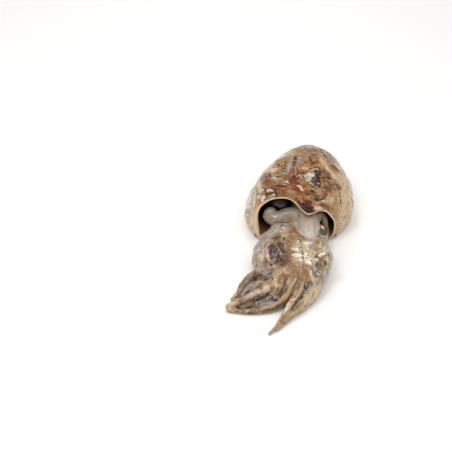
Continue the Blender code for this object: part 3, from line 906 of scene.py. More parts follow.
# Each arm is a path, the radius at its root and tip, and how evenly it slims.
ARMS = {
    "left_rear": (
        ((-37, -66, 15), (-49.5, -69.5, 11), (-59, -79.5, 6.6), (-63, -88.5, 4), (-68.5, -93.5, 2.4)),
        (6.2, 2.0),
        0.6,
    ),
    "left_pale": (
        ((-28, -70, 13), (-44, -77, 7), (-54, -83.5, 4), (-64.8, -96.5, 2.2)),
        (6.0, 1.8),
        0.6,
    ),
    "left_broad": (
        ((-22, -79, 17), (-37, -89.5, 12.5), (-53, -98.5, 7.6), (-72, -105, 3.2)),
        (6.8, 3.2),
        1.1,
    ),
    "left_inner": (
        ((-21, -66, 20), (-21.5, -82, 18.5), (-24, -92, 13.5), (-27.5, -98, 7)),
        (7.0, 3.6),
        1.1,
    ),
    "left_ridge": (
        ((-24, -70, 19), (-27, -79, 16), (-28.5, -90, 11), (-31, -97, 6)),
        (4.0, 2.6),
        0.6,
    ),
    "left_under": (
        ((-24, -88, 6), (-34, -94.5, 5.4), (-44, -100, 4.4), (-60, -106.5, 2.8)),
        (6.4, 2.6),
        1.0,
    ),
    "middle_long": (
        (
            (-7, -72, 16.5),
            (-12.8, -86.8, 15),
            (-20, -100, 10),
            (-31, -107, 5),
            (-48.5, -110.7, 3),
            (-71.5, -108.4, 2.2),
        ),
        (6.5, 2.0),
        0.6,
    ),
    "right_ridge": (
        (
            (0, -76, 17),
            (-5.8, -94, 15.5),
            (-14, -106.3, 10.5),
            (-21, -117.7, 6),
            (-29, -131.5, 3.2),
            (-35.8, -139.6, 1.6),
        ),
        (6.2, 1.2),
        0.6,
    ),
    "right_broad": (
        ((8.4, -72, 15), (3.8, -88.8, 12.5), (-0.8, -98.8, 9.5), (-12.9, -113.6, 6), (-29.5, -134.5, 2.2)),
        (7.2, 1.7),
        0.9,
    ),
    "right_outer": (
        ((12.6, -60, 10.5), (9.5, -76.7, 8.5), (6.5, -87.3, 6.5), (0.4, -97, 4.6), (-15, -114.5, 2.6)),
        (9.0, 2.8),
        1.0,
    ),
}
NECK = ((6.3, -21, 20.0), (6.2, -12, 22.5), (5.6, 6, 24.0), (4.5, 30, 27.0), (4.0, 56, 28.0))
COLLAR = ((-31, 11.0, 23.6), (-23.4, 7.0, 21.8), (-12, 8.0, 25.0), (2, 8.0, 25))
FUNNEL = ((24.0, -3, 3), (24.6, -2, 14), (23.6, 2, 23), (20.0, 8, 28))
HEAD_BAND = ((-2, -7, 22), (-15, -9, 22), (-27, -16, 19), (-37, -30, 16), (-41, -46, 14), (-40, -60, 12))
# The folds of skin on the outer and inner side of each eye.
LEFT_LIDS = (
    (
        (-30.5, -47.5, 33.5),
        (-34.2, -51.5, 31.6),
        (-35.6, -58.5, 30.2),
        (-34.8, -66, 27.4),
        (-31.5, -70.5, 26.8),
    ),
    (
        (-29.5, -47.5, 34.2),
        (-26.8, -52.5, 35.4),
        (-26.2, -59, 35.0),
        (-27.2, -66, 32.4),
        (-30.5, -70.5, 27.6),
    ),
)
RIGHT_LIDS = (
    ((18.0, -51.5, 28.8), (21.6, -54.5, 28.6), (23.8, -60, 27.6), (22.6, -67, 24.6)),
    ((17.6, -51.5, 29.4), (17.2, -56, 31.0), (18.2, -61, 31.0), (20.8, -67.5, 26.4)),
)
# The neck, collar and funnel, a band of flesh down the head's left side, and the folds round the eyes.
# Each is given like an arm.
HEAD_LIMBS = {
    "neck": (NECK, (11.2, 15.0), 0.6),
    "collar": (COLLAR, (7.4, 9.6), 1.0),
    "funnel": (FUNNEL, (3.2, 3.0), 1.0),
    "band": (HEAD_BAND, (7.6, 8.4), 1.0),
    "left_lid": (LEFT_LIDS[0], (1.7, 1.5), 1.0),
    "left_brow": (LEFT_LIDS[1], (2.4, 2.0), 1.0),
    "right_lid": (RIGHT_LIDS[0], (2.3, 1.8), 1.0),
    "right_brow": (RIGHT_LIDS[1], (2.7, 2.0), 1.0),
}
# Each swelling is its middle, its half sizes and its turn in degrees.
SWELLINGS = {
    "collar_end": ((-29.8, 11.2, 23.6), (7.4, 8.0, 8.8), 0),
    "funnel_side": ((19.4, -7.0, 18.5), (4.0, 6.0, 5.4), 12),
    "neck_end": ((6.0, -24.0, 21.4), (9.4, 9.0, 9.4), 0),
    "left_shoulder": ((-17.0, -13.0, 18.5), (17.0, 13.0, 11.5), 12),
    "right_shoulder": ((18.5, -14.0, 15.0), (7.0, 9.0, 9.5), 0),
    "left_eye_dome": ((-25.6, -54.5, 20.6), (14.4, 19.0, 15.6), 4),
    "right_eye_dome": ((15.0, -59.0, 18.0), (10.5, 14.0, 13.6), -8),
    "left_skirt": ((-39.0, -60.0, 9.5), (9.0, 14.0, 9.5), -25),
    "left_web": ((-38.0, -93.0, 2.4), (22.0, 14.0, 4.6), 25),
    "rear_web": ((-48.5, -76.5, 3.6), (11.0, 6.5, 4.8), 45),
    "right_web": ((-6.0, -103.0, 4.0), (7.0, 10.0, 5.0), -35),
}


def ball(centre, radii, turn=0.0, rings=28, sides=40):
    """An ellipsoid, turned about the vertical by an angle in degrees."""
    cos_turn, sin_turn = math.cos(math.radians(turn)), math.sin(math.radians(turn))
    around = np.linspace(0, 2 * math.pi, sides, endpoint=False)
    made = []
    for tilt in np.linspace(0, math.pi, rings)[1:-1]:
        x = radii[0] * math.sin(tilt) * np.cos(around)
        y = radii[1] * math.sin(tilt) * np.sin(around)
        z = np.full(sides, -radii[2] * math.cos(tilt))
        made.append(np.stack([x * cos_turn - y * sin_turn, x * sin_turn + y * cos_turn, z], axis=1))
    return loft(np.array(made) + np.array(centre))


def lengths_along(rows):
    """How far each of a path's places lies from its start."""
    return np.concatenate([[0], np.cumsum(np.linalg.norm(np.diff(rows, axis=0), axis=1))])


def axes_along(path, steps):
    """A smooth path's points, and at each its heading, the direction to its side and the one above."""
    rows = np.array(path, float)
    along = lengths_along(rows)
    line = through(np.column_stack([along, rows]), np.linspace(0, along[-1], steps))
    heading = np.gradient(line, axis=0)
    heading /= np.linalg.norm(heading, axis=1)[:, None]
    side = np.cross(heading, (0, 0, 1))
    side /= np.linalg.norm(side, axis=1)[:, None]
    return line, heading, side, np.cross(side, heading)


def limb(path, radii, slimming=0.6, steps=90, sides=36):
    """A round limb along a smooth path, from its root's radius to its tip's."""
    line, heading, side, above = axes_along(path, steps)
    radius = radii[0] + (radii[1] - radii[0]) * np.linspace(0, 1, steps) ** slimming
    turn = np.linspace(0, 2 * math.pi, sides, endpoint=False)
    rings = []
    for middle, size, across, up in zip(line, radius, side, above):
        rings.append(middle + size * (np.outer(np.cos(turn), across) + np.outer(np.sin(turn), up)))
    first = line[0] - heading[0] * radius[0] * LIMB_CAP_REACH + (rings[0] - line[0]) * LIMB_CAP_SIZE
    last = line[-1] + heading[-1] * radius[-1] * LIMB_CAP_REACH + (rings[-1] - line[-1]) * LIMB_CAP_SIZE
    return loft([first, *rings, last])


def fused(name, parts, voxel, rounds):
    """One skin over shapes that overlap, softened where they join."""
    rough = bpy.data.objects.new(name, new_mesh(name, parts))
    bpy.context.scene.collection.objects.link(rough)
    fuse = rough.modifiers.new("fuse", "REMESH")
    fuse.mode = "VOXEL"
    fuse.voxel_size = voxel * MM
    soften = rough.modifiers.new("soften", "SMOOTH")
    soften.factor = 0.5
    soften.iterations = rounds
    done = bpy.data.meshes.new_from_object(rough.evaluated_get(bpy.context.evaluated_depsgraph_get()))
    bpy.data.objects.remove(rough, do_unlink=True)
    done.shade_smooth()
    return done


def head():
    """The head without its arms and eyes, lofted through its sections."""
    turn = np.radians(np.linspace(-90, 270, HEAD_SIDES, endpoint=False))
    rings = []
    for place in np.linspace(HEAD[-1][0], HEAD[0][0], HEAD_RINGS):
        centre, half_width, top = through(HEAD, np.array([place]))[0]
        middle = HEAD_WIDEST_HEIGHT * top
        height = np.where(np.sin(turn) > 0, top - middle, middle + PRESSED_FLAT)
        x = centre + half_width * rounded(np.cos(turn), HEAD_POWERS[0])
        z = middle + height * rounded(np.sin(turn), HEAD_POWERS[1])
        rings.append(np.stack([x, np.full(len(turn), place), z], axis=1))
    return loft(rings)


def ties_of(mesh):
    """The two points that each edge of the mesh ties together."""
    return values_of(mesh.edges, "vertices", 2, np.int32).T


def eased(points, ties, rounds):
    """The same points with their relief smoothed away."""
    start, end = ties
    count = np.bincount(start, minlength=len(points)) + np.bincount(end, minlength=len(points))
    for _ in range(rounds):
        total = np.empty_like(points)
        for axis in range(3):
            total[:, axis] = np.bincount(start, points[end, axis], len(points))
            total[:, axis] += np.bincount(end, points[start, axis], len(points))
        points = total / count[:, None]
    return points


head_parts = [head()] + [limb(*shape) for shape in ARMS.values()]
head_parts += [limb(*shape) for shape in HEAD_LIMBS.values()]
head_parts += [ball(*shape) for shape in SWELLINGS.values()]
head_mesh = fused("head_and_arms", head_parts, HEAD_VOXEL, 2)
head_smooth = places_of(head_mesh)
head_ties = ties_of(head_mesh)

# Each point's nearest arm gives the direction of the grain in the skin, and on the head it fans out
# from the crown.
ARM_STEPS = 80
ARM_STEP_LENGTH = 0.9
CROWN = (-6, -48, 20)
arm_lines = [axes_along(shape[0], ARM_STEPS) for shape in ARMS.values()]
finder = KDTree(len(ARMS) * ARM_STEPS)
for number, (line, *_) in enumerate(arm_lines):
    for index, spot in enumerate(line):
        finder.insert(spot, number * ARM_STEPS + index)
finder.balance()
nearest = np.array([finder.find(spot)[1] for spot in head_smooth])
arm_number, arm_step = np.divmod(nearest, ARM_STEPS)
nearest_axes = (np.array(part)[arm_number, arm_step] for part in zip(*arm_lines))
arm_middle, arm_heading, arm_side, arm_above = nearest_axes
away = head_smooth - arm_middle
around = np.arctan2(np.sum(away * arm_above, axis=1), np.sum(away * arm_side, axis=1))
along = arm_step * ARM_STEP_LENGTH + np.sum(away * arm_heading, axis=1)
on_arms = step(-head_smooth[:, 1], 68, 82)
from_crown = head_smooth - CROWN
spread = np.hypot(from_crown[:, 0], from_crown[:, 1])
fan = np.arctan2(from_crown[:, 1], from_crown[:, 0])
arm_grain = np.stack([along, around * 5, arm_number * 9.0], axis=1)
crown_grain = np.stack([spread, fan * 24, spread * 0], axis=1)
grain = arm_grain * on_arms[:, None] + crown_grain * (1 - on_arms)[:, None]

# The neck's bare muscle shows down to a rounded point on the head's back, and the collar's all over.
NECK_MIDDLE = 5.5
POINT_REACH = 34.0
POINT_HALF_WIDTH = 15.0
from_middle = np.abs(head_smooth[:, 0] - NECK_MIDDLE) / POINT_HALF_WIDTH
skin_edge = -POINT_REACH * (1 - from_middle**2.4)
flesh = step(head_smooth[:, 1] - np.minimum(skin_edge, -0.5) + 1.2 * lumps(head_smooth, 5, 2), -1.5, 1.5)
flesh = flesh * step(head_smooth[:, 2], 8, 13) * step(22.0 - head_smooth[:, 0], 0, 2)
on_neck = flesh * step(head_smooth[:, 0], -14, -3)
funnel_flap = step(head_smooth[:, 0], 20.6, 22.2) * step(head_smooth[:, 1], -8.5, -6)

# Creases and ridges in the head and arms, carved into the surface, with painted shade along the creases
# and a painted highlight along the ridges. Each is its height, below 0 for a crease, half of its
# breadth, and the places that it runs through.
CREASES = (
    (-0.7, 1.3, (-12, -13, 30), (-22, -16, 30), (-30, -19, 26), (-36, -26, 24), (-40, -40, 25),
     (-42, -54, 25)),
    (-1.6, 1.5, (-46, -71, 15), (-41, -76, 12), (-37, -79, 15), (-32, -81, 19)),
    (-1.4, 1.2, (-42, -74, 11), (-49, -80, 9), (-55, -86, 6), (-60, -91, 4)),
    (-1.2, 1.0, (-35, -84, 18), (-43, -86, 12), (-50, -91, 10), (-58, -98, 8)),
    (-1.1, 1.0, (-17, -84, 24), (-19, -89, 20), (-21, -94, 17), (-25, -99, 13)),
    (-1.1, 1.0, (-30, -82, 22), (-32, -87, 20), (-33, -92, 16), (-31, -95, 12)),
    (-1.5, 1.2, (-47, -102, 8), (-39, -98, 10), (-34, -96, 11), (-28, -98, 12)),
    (-1.2, 1.2, (-25, -101, 12), (-30, -104, 9), (-38, -106, 6), (-48, -108, 4)),
    (-1.4, 1.1, (-7, -95, 20), (-9, -100, 18), (-13, -107, 14), (-18, -113, 11), (-23, -120, 8)),
    (-0.8, 0.9, (-1, -92, 19), (-3, -96, 16), (-7, -103, 14), (-11, -107, 11), (-16, -116, 9)),
    (-0.9, 0.9, (3, -89, 19), (1, -94, 17), (-1, -100, 15), (-6, -107, 12), (-11, -113, 10), (-17, -120, 8)),
    (-0.9, 1.0, (11, -84, 17), (7, -96, 12), (4, -101, 9), (-2, -108, 6)),
    (-0.9, 0.8, (6, -56, 30), (9, -59, 30), (10, -64, 29), (13, -68, 28), (18, -68, 27)),
    (-0.6, 0.8, (-18, -76, 28), (-10, -75, 29), (-3, -77, 28), (3, -80, 26)),
    (1.1, 1.2, (-25, -78, 24), (-28, -83, 22), (-30, -88, 20), (-31, -92, 16)),
    (0.9, 2.0, (-11, -88, 22), (-15, -95, 17), (-18, -100, 15), (-24, -105, 12), (-31, -108, 9),
     (-42, -111, 7)),
    (0.9, 1.6, (-3, -90, 21), (-7, -100, 17), (-11, -105, 14), (-16, -113, 11), (-21, -119, 9),
     (-27, -129, 6)),
    (0.8, 1.6, (8, -86, 19), (7, -91, 17), (4, -97, 14), (2, -102, 12), (-4, -109, 9), (-11, -117, 7)),
)
# Shallow hollows where the suckers show, each half of its breadth and the places that it runs through.
SUCKER_HOLLOWS = (
    (3.0, (-45, -103, 8), (-36, -100, 10), (-28, -101, 12)),
    (1.9, (-1, -95, 17), (-5, -101, 15), (-9, -107, 12), (-14, -114, 10)),
)
# The hollows are carved in, and painted shade is added along them.
HOLLOW_DEPTH = 0.4
HOLLOW_SHADE = 0.15
in_hollow = step(marked(head_smooth, SUCKER_HOLLOWS), 0.2, 0.8)
carved = -HOLLOW_DEPTH * in_hollow
crease_shade_and_highlight = HOLLOW_SHADE * in_hollow
wavering = crooked(head_smooth, 6.0, 0.9)
for height, breadth, *path in CREASES:
    corners = np.column_stack([np.arange(len(path)), path])
    line = through(corners, np.linspace(0, len(path) - 1, 6 * len(path)))
    share_here = np.exp(-((away_from(wavering, line) / breadth) ** 2))
    carved += height * share_here
    crease_shade_and_highlight = np.maximum(crease_shade_and_highlight, 0.8 * share_here) if height < 0 else crease_shade_and_highlight - 0.45 * share_here

# The relief: the folds between the arms made bolder than the fusing left them, lumps of two sizes, fine
# wrinkles along the grain, and low ribs on the neck. There is none where the head lies on the table.
sharper = head_smooth - eased(head_smooth, head_ties, 14)
normal = normals_of(head_mesh)
bold = np.sum(sharper * normal, axis=1) * (0.30 + 0.25 * on_arms) * (1 - flesh)
wrinkles = lumps(grain * (0.16, 1, 1), 2.6, 3)
head_relief = 0.7 * lumps(head_smooth, 10) * (1 - 0.6 * on_arms) + 0.35 * lumps(head_smooth, 3.8, shift=6.0)
head_relief += 0.22 * wrinkles * (0.3 + 0.7 * on_arms)
ribs = np.sin(head_smooth[:, 0] * 2.0 + 1.5 * lumps(head_smooth * (1, 0.2, 1), 6, 2))
flesh_relief = 0.04 * ribs * on_neck + 0.15 * lumps(head_smooth, 10, 2, shift=2.0)
head_relief = head_relief * (1 - flesh) + flesh_relief * flesh + bold
lifted = step(head_smooth[:, 2], 0.8, 5)
head_places = head_smooth + normal * ((head_relief + carved) * lifted)[:, None]
move_to(head_mesh, head_places)
# A hollow of this depth gets the whole painted shade of a furrow, and a bump gets a painted highlight.
FURROW_DEPTH = 1.2
filled = eased(head_places, head_ties, 12) - head_places
hollow = np.sum(filled * normals_of(head_mesh), axis=1) / FURROW_DEPTH
furrow_shade = np.clip(np.clip(hollow, -0.6, 1) * (0.5 + 0.5 * on_arms) + 0.75 * crease_shade_and_highlight, -1, 1) * (1 - flesh)

# The marks on the skin of the head and arms, written like the mantle's.
HEAD_MARKS = {
    "bare": (
        (2.6, (293.5, 248), (298.5, 249.5)),
        (3.0, (294.5, 254.5), (299.5, 256)),
        (1.8, (297.4, 241.8)),
        (1.6, (300, 245.5)),
        (1.8, (300.5, 259)),
        (3.4, (305, 257.5), (309.5, 262)),
        (3.0, (306.5, 252.8)),
        (1.8, (305, 243.4), (312, 241.8)),
        (1.4, (303.2, 245), (303.2, 250)),
        (2.5, (306, 247.6)),
        (1.4, (313.5, 251), (314.8, 252.5)),
        (2.2, (320, 255), (323.2, 253.5)),
        (1.3, (316.8, 259.7)),
        (1.0, (311.6, 278)),
        (1.0, (309.5, 274.5), (311, 272)),
        (1.1, (321, 240.7)),
        # A painted glint.
        (0.9, (281.6, 237.6)),
        # A painted glint.
        (0.8, (323.5, 235.8), (326, 238)),
        (1.0, (271, 244.4)),
        (0.9, (318, 273), (319, 275)),
        # A painted highlight on the grey piece by the neck.
        (1.3, (321.5, 226), (322.5, 228.5)),
    ),
    "pink": (
        (2.1, (268.6, 245.5), (267.2, 250.2), (268, 255), (270, 259)),
    ),
    "grey": (
        (7.0, (282, 225), (270, 230), (262, 240), (257, 250)),
        (4.0, (258, 262), (262, 271), (268, 275)),
        (1.5, (273.2, 259.7), (274.2, 266.5)),
        (3.0, (312, 247), (311, 238)),
        (2.4, (323, 240), (328, 248)),
        (1.8, (279.5, 250), (281.6, 254)),
        (4.6, (250, 284), (257, 286), (244, 292)),
        (3.0, (264, 304), (272, 303)),
        (3.0, (320, 272), (325, 278), (316, 284)),
        (1.8, (300, 298), (299, 301)),
        (2.4, (276, 328), (273, 331)),
        (2.0, (274, 294), (276, 298)),
        (1.7, (329.5, 246), (330.5, 254), (329.5, 262), (327, 269)),
        (2.4, (315.5, 229.5), (320, 234.5), (324, 241)),
        (1.6, (313, 264), (315, 270)),
    ),
    "pale": (
        (1.2, (260.5, 268.6)),
        # A painted highlight along an arm's edge.
        (0.9, (274.7, 277.3), (276, 284), (275.3, 290.7)),
        # A painted highlight.
        (0.6, (280.7, 272.7), (278.7, 276)),
        # A painted highlight along an arm's ridge.
        (1.0, (303.3, 291.3), (297.3, 297.3), (289.3, 302), (286.7, 308.7), (283.3, 314.7)),
        # A painted highlight along an arm's ridge.
        (0.8, (312.7, 290.7), (308, 299.3), (304, 304)),
        # This and the next are painted glints.
        (0.8, (294, 283.7)),
        (0.8, (301.7, 283.3)),
        (0.9, (255, 246), (254, 252)),
        (0.8, (247, 288.5), (244, 292)),
        (0.8, (256, 281.5), (262, 280)),
        (0.7, (252.7, 304.7), (250, 306.5)),
        # A painted glint.
        (0.9, (228, 305), (230, 309)),
        (0.9, (232, 297), (236, 295)),
        (0.6, (270, 303), (279, 302)),
    ),
    "dark": (
        (3.4, (271, 246), (272, 252), (273, 256)),
        (2.0, (278, 243), (280, 249)),
        (1.8, (276, 252), (281, 259)),
        (0.8, (283, 244), (285, 252)),
        # Painted shade under the collar's lower edge.
        (1.3, (274, 221.5), (281, 223), (290, 222.5)),
        (1.4, (284.5, 243), (286, 244)),
        (1.7, (282.6, 250.5), (283, 252.5)),
        (1.6, (283.2, 261.3), (280, 260)),
        (1.4, (276, 248), (275.5, 254)),
        (1.1, (280, 255), (283, 256)),
        (1.0, (277, 243), (281, 243.5)),
        (1.3, (273, 238), (276, 238.5), (280, 236)),
        (1.3, (284, 237.5), (284.5, 240)),
        (1.1, (278, 246), (280, 248)),
        (1.1, (276.5, 259), (278, 263)),
        (1.7, (270.5, 265)),
        (2.0, (281.6, 225.7)),
        (1.0, (256.8, 261.3), (256, 266)),
        (0.9, (258, 273), (261, 276)),
        (1.4, (268, 275), (271, 273)),
        (0.7, (300.5, 240.7), (301, 245.5), (300.5, 251.8)),
        (0.8, (303.2, 250), (302.6, 256), (303.2, 260.7)),
        (0.6, (309.5, 245.5), (310, 250.7), (313.2, 253.9), (315.8, 256)),
        (0.7, (293.2, 245.5), (297.4, 244.4), (300, 247.6)),
        (0.7, (292, 252.8), (297.4, 252.8), (300.5, 252.3)),
        (0.7, (297.4, 259.2), (299.5, 256.5)),
        (1.4, (293.2, 252.8)),
        (1.7, (315.3, 256.5)),
        (0.7, (322, 251), (321.6, 256), (325.8, 257)),
        (1.4, (326.3, 255)),
        (1.1, (322.6, 243), (323, 246)),
        (1.0, (325.5, 262), (325.5, 266)),
        (0.8, (294.7, 272.8), (293.7, 279)),
        (2.8, (319, 230), (322, 231), (325.8, 234.4)),
        # Painted shade in the crevice along the web's lower edge.
        (1.0, (249.3, 290), (244.7, 294.7), (240.7, 298)),
        # Painted shade in the crevice under an arm.
        (1.1, (254, 304), (249, 307.5), (243, 309.5), (235, 311)),
        (2.0, (256, 302), (260, 300)),
        (1.7, (269.3, 294.7)),
        (2.0, (273.3, 298), (277.3, 301.3)),
        # Painted shade in the groove along an arm's edge.
        (1.1, (286, 285.3), (285.3, 288.7)),
        (1.1, (272.7, 278)),
        # Painted shade in the crevice between two arms.
        (1.0, (298, 288), (290.7, 297.3), (284, 304.7), (282, 310)),
        (1.5, (292.7, 306)),
        (1.8, (306, 288.7)),
        (1.4, (300.7, 299), (302.5, 296)),
        (1.0, (300.7, 313.3), (290.7, 318.7), (282.7, 324.7)),
        (1.1, (314, 300)),
        (1.4, (275, 329), (278, 327)),
        (0.8, (317, 262), (316, 267)),
        # This and the next are painted shadow under an arm's lower edge.
        (1.1, (270, 310.5), (281, 308.5)),
        (1.3, (236, 311.5), (250, 313), (263, 312.5)),
    ),
    "deep": (
        (1.6, (280.7, 296.7), (282.7, 292)),
        (3.2, (277, 261), (280, 264.5), (285, 263), (286.5, 258)),
        (1.0, (280.7, 322)),
        (1.0, (326, 264)),
        (0.8, (240, 292), (238, 294)),
    ),
    "rust": (
        (3.0, (291.6, 228.6), (292, 236), (288, 242.3), (290.5, 248.6), (290, 256), (289, 262.3), (293, 266)),
        (1.0, (265.8, 241.3), (264.5, 249.7), (264.7, 258), (267.4, 263.4)),
        (3.0, (305, 271), (300, 268)),
        (4.0, (291, 269), (298, 274)),
        (4.0, (289, 276), (299, 279), (306, 275)),
        (2.4, (295, 288), (289, 296), (282, 302)),
        (2.0, (318, 240), (316, 244)),
        (2.4, (252, 281), (245, 288), (240, 292)),
        (2.2, (281, 278), (281, 288)),
        (1.8, (296, 263), (303, 265)),
        (1.8, (304, 302), (297, 309)),
        (1.6, (284, 318), (281, 322)),
    ),
    "brown": (
        (6.0, (277, 242), (281, 251), (279, 261)),
        (5.0, (276, 247), (276, 258)),
        (3.0, (274, 239), (283, 239)),
        (3.0, (319.5, 263.4), (318, 268.6)),
        (3.0, (292, 274), (300, 278)),
        (5.6, (254, 277), (246, 286), (238, 294)),
        (2.6, (301, 285), (311, 284)),
        (2.6, (266, 272), (272, 270)),
        (3.6, (293, 288), (285, 299), (276, 305)),
        (3.4, (283, 276), (282, 286), (278, 294)),
        (4.0, (262, 303), (272, 300), (280, 296)),
        (3.6, (262, 296), (252, 300), (240, 305)),
        (3.0, (252, 310), (264, 309.5), (277, 307)),
        (5.0, (258, 287), (247, 291)),
        (5.4, (258, 301), (274, 300)),
        (3.0, (256, 309), (275, 308)),
        (2.4, (297, 303), (293, 309)),
    ),
    "fair": (
        (3.4, (261, 251), (259, 244), (262, 258)),
        (5.0, (318, 284), (314, 296), (305, 305)),
        (3.0, (268, 288), (258, 292), (247, 298)),
        (5.0, (298, 246), (299, 258)),
        (5.0, (306, 243), (307, 258)),
        (2.4, (310, 274), (314, 280)),
        (3.0, (230, 306), (234, 299)),
        (2.0, (276, 280), (275, 292)),
        (2.2, (254, 283), (262, 281)),
        (2.4, (318, 250), (323, 252)),
        (4.4, (316, 239), (322, 244), (325, 250)),
        (3.6, (311, 250), (312, 262)),
        (4.0, (327, 248), (329, 262)),
        (1.8, (282.6, 227.6), (277.4, 229.7), (272.6, 233.4), (268.4, 238), (265, 242.3)),
        (2.0, (284, 312), (290, 304)),
        (2.0, (327, 268), (324, 275)),
    ),
}
note_marks(head_mesh, head_smooth, HEAD_MARKS, 1 - flesh)
note(head_mesh, "furrow_shade", furrow_shade)
note(head_mesh, "grain", grain)
note(head_mesh, "flesh", flesh)
note(head_mesh, "on_neck", on_neck)
# The neck gets painted shade towards its back end, inside the mantle, and pales towards its point on
# the head, where its paler muscle also gets a painted highlight.
note(head_mesh, "neck_back_shade", step(head_smooth[:, 1], 6, 28))
note(head_mesh, "point", step(-head_smooth[:, 1], 12, 32))
note(head_mesh, "flap", funnel_flap)
# Brown stains on the neck under the mantle's lip.
NECK_STAINS = (
    (1.6, (-3, -4, 34), (-3, 6, 37)),
    (1.8, (9, -6, 36), (9, 4, 38)),
    (3.0, (2, 4, 38), (10, 4, 38)),
)
note(head_mesh, "stain", marked(crooked(head_smooth, 4.0, 1.0), NECK_STAINS))

HEAD_TONES = {
    "light": tone(176, 148, 114),
    "mid": tone(134, 103, 68),
    "brown": tone(98, 72, 48),
    "speck": tone(66, 50, 42),
    "pale": tone(204, 182, 154),
    "rust": tone(138, 96, 52),
    "deep_rust": tone(96, 54, 42),
    "fair": tone(216, 197, 168),
    "fair_streak": tone(166, 140, 106),
    "grey": tone(172, 162, 157),
    "grey_shade": tone(124, 111, 105),
    "bare": tone(250, 242, 226),
    # Cream for pale skin, and for painted highlights and glints.
    "cream_and_highlight": tone(238, 224, 202),
    "bare_shade": tone(208, 192, 172),
    "pink": tone(208, 168, 154),
    "pink_shade": tone(160, 112, 98),
    "edge": tone(118, 92, 70),
    "dark": tone(50, 36, 32),
    "dark_fleck": tone(108, 90, 78),
    # Painted shade for furrows and a painted highlight for ridges.
    "furrow_shade": tone(78, 54, 40),
    "ridge_highlight": tone(188, 160, 122),
}
look = Shading("head skin")
place = look.place()
colour, height, mottle = skin(look, HEAD_TONES, place, cell_size=4.2, speckle=0.35, cracks=0.5)
# The bare muscle of the neck, streaked by its fibres, and that of the collar, which is duller.
fibres = look.cloud(look.stretched(place, (1.0, 0.06, 0.3)), 2.4, 3, 0.6)
pale = look.over(tone(172, 156, 140), look.rise(fibres, 0.30, 0.95, 0.0, 0.5), tone(138, 118, 102))
# The neck's point: paler muscle with a painted highlight over it.
point_pale_and_highlight = look.times(look.kept("point"), look.rise(fibres, 0.0, 0.9, 1.0, 0.4))
pale = look.over(pale, point_pale_and_highlight, tone(216, 206, 194))
dull = look.over(tone(150, 140, 124), look.rise(mottle, 0.30, 0.85, 0.0, 0.7), tone(122, 108, 88))
muscle = look.over(dull, look.kept("on_neck"), pale)
stained = look.rise(look.sum(look.kept("stain"), fibres, 0.5), 0.4, 1.2, 0.0, 0.75)
muscle = look.over(muscle, stained, tone(122, 90, 72))
# Painted shade on the neck's back end, inside the mantle.
shaded = look.rise(look.sum(look.kept("neck_back_shade"), mottle, 0.3), 0.20, 0.90, 0.0, 0.92)
muscle = look.over(muscle, shaded, tone(60, 44, 34))
colour = look.over(colour, look.kept("flesh"), muscle)
flap_tone = look.over(tone(132, 108, 78), look.rise(mottle, 0.4, 0.8), tone(84, 62, 42))
colour = look.over(colour, look.kept("flap"), flap_tone)
low_ribs = look.times(fibres, 0.4)
height = look.put("ShaderNodeMix", {0: look.kept("flesh"), 2: height, 3: low_ribs}, 0, data_type="FLOAT")
wet(look, colour, height, look.rise(mottle, 0.2, 0.8, 0.30, 0.46), relief=0.4, film=1.48)
head_piece = piece("head_and_arms", head_mesh, look.matter)
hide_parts("cuttlefish")

# The suckers: small stalked cups in rows along the inner faces of the arms, which show where an arm
# has rolled over. Each is a ring of pale muscle round a pit.
SUCKER_PROFILE = ((0.35, 0.1), (0.55, 0.6), (0.8, 0.85), (1.0, 0.5), (1.02, 0.0), (0.7, -0.6))
# Each row is the radius of its cups, their spacing, and the places that it runs through.
SUCKER_ROWS = (
    (0.95, 2.3, (-47, -101.5, 9), (-38, -98.5, 11), (-28, -99, 13)),
    (1.0, 2.5, (-47, -103.5, 8), (-37, -101, 10), (-27, -102, 12)),
    (0.9, 2.4, (-46, -105.5, 6), (-37, -104, 8), (-28, -104.5, 11)),
    (0.8, 2.1, (-66, -104.5, 6), (-71, -105, 5)),
    (0.7, 1.9, (-64, -107, 4), (-72, -107, 3)),
    (0.8, 2.2, (0.5, -95, 17), (-4, -102, 15), (-9, -109, 12), (-14, -116, 9)),
    (0.8, 2.2, (-2.5, -96, 17), (-6, -101, 15), (-10, -107, 12), (-15, -114, 10)),
    (0.6, 1.8, (-64, -91, 5), (-68, -95, 4)),
    (0.6, 1.8, (-28, -133, 5), (-34, -139.5, 3)),
)


def sucker(middle, normal, size, sides=12):
    """One cup: rings of a turned profile, given as shares of its radius."""
    across = np.cross(normal, (0.3, 0.5, 0.81))
    across /= np.linalg.norm(across)
    other = np.cross(normal, across)
    turn = np.linspace(0, 2 * math.pi, sides, endpoint=False)
    circle = np.outer(np.cos(turn), across) + np.outer(np.sin(turn), other)
    return loft([middle + size * (out * circle + up * normal) for out, up in SUCKER_PROFILE])


skin_tree = tree_of(head_mesh, head_places)
cups = []
for size, spacing, *path in SUCKER_ROWS:
    rows = np.array(path, float)
    along_row = lengths_along(rows)
    for number, gone in enumerate(np.arange(0.5, along_row[-1], spacing)):
        spot = [np.interp(gone, along_row, rows[:, axis]) for axis in range(3)]
        ground, normal, *_ = skin_tree.find_nearest(Vector(spot))
        cups.append(sucker(np.array(ground), np.array(normal), size * (1 - 0.18 * (number % 3))))


def two_tones(name, ground, clouds, size, detail, low, high, most=1.0):
    """A material of one tone, with clouds of a second one of the given size over it."""
    look = Shading(name)
    amount = look.rise(look.cloud(look.place(), size, detail), low, high, 0.0, most)
    look.feed(look.shader.inputs["Base Color"], look.over(ground, amount, clouds))
    return look


look = two_tones("sucker", tone(196, 184, 172), tone(136, 118, 108), 3, 2, 0.2, 0.8)
look.finish(roughness=0.35, coat_weight=0.7, coat_roughness=0.12)
look.finish(subsurface_weight=0.15, subsurface_scale=1.2 * MM)
piece("suckers", new_mesh("suckers", cups), look.matter)

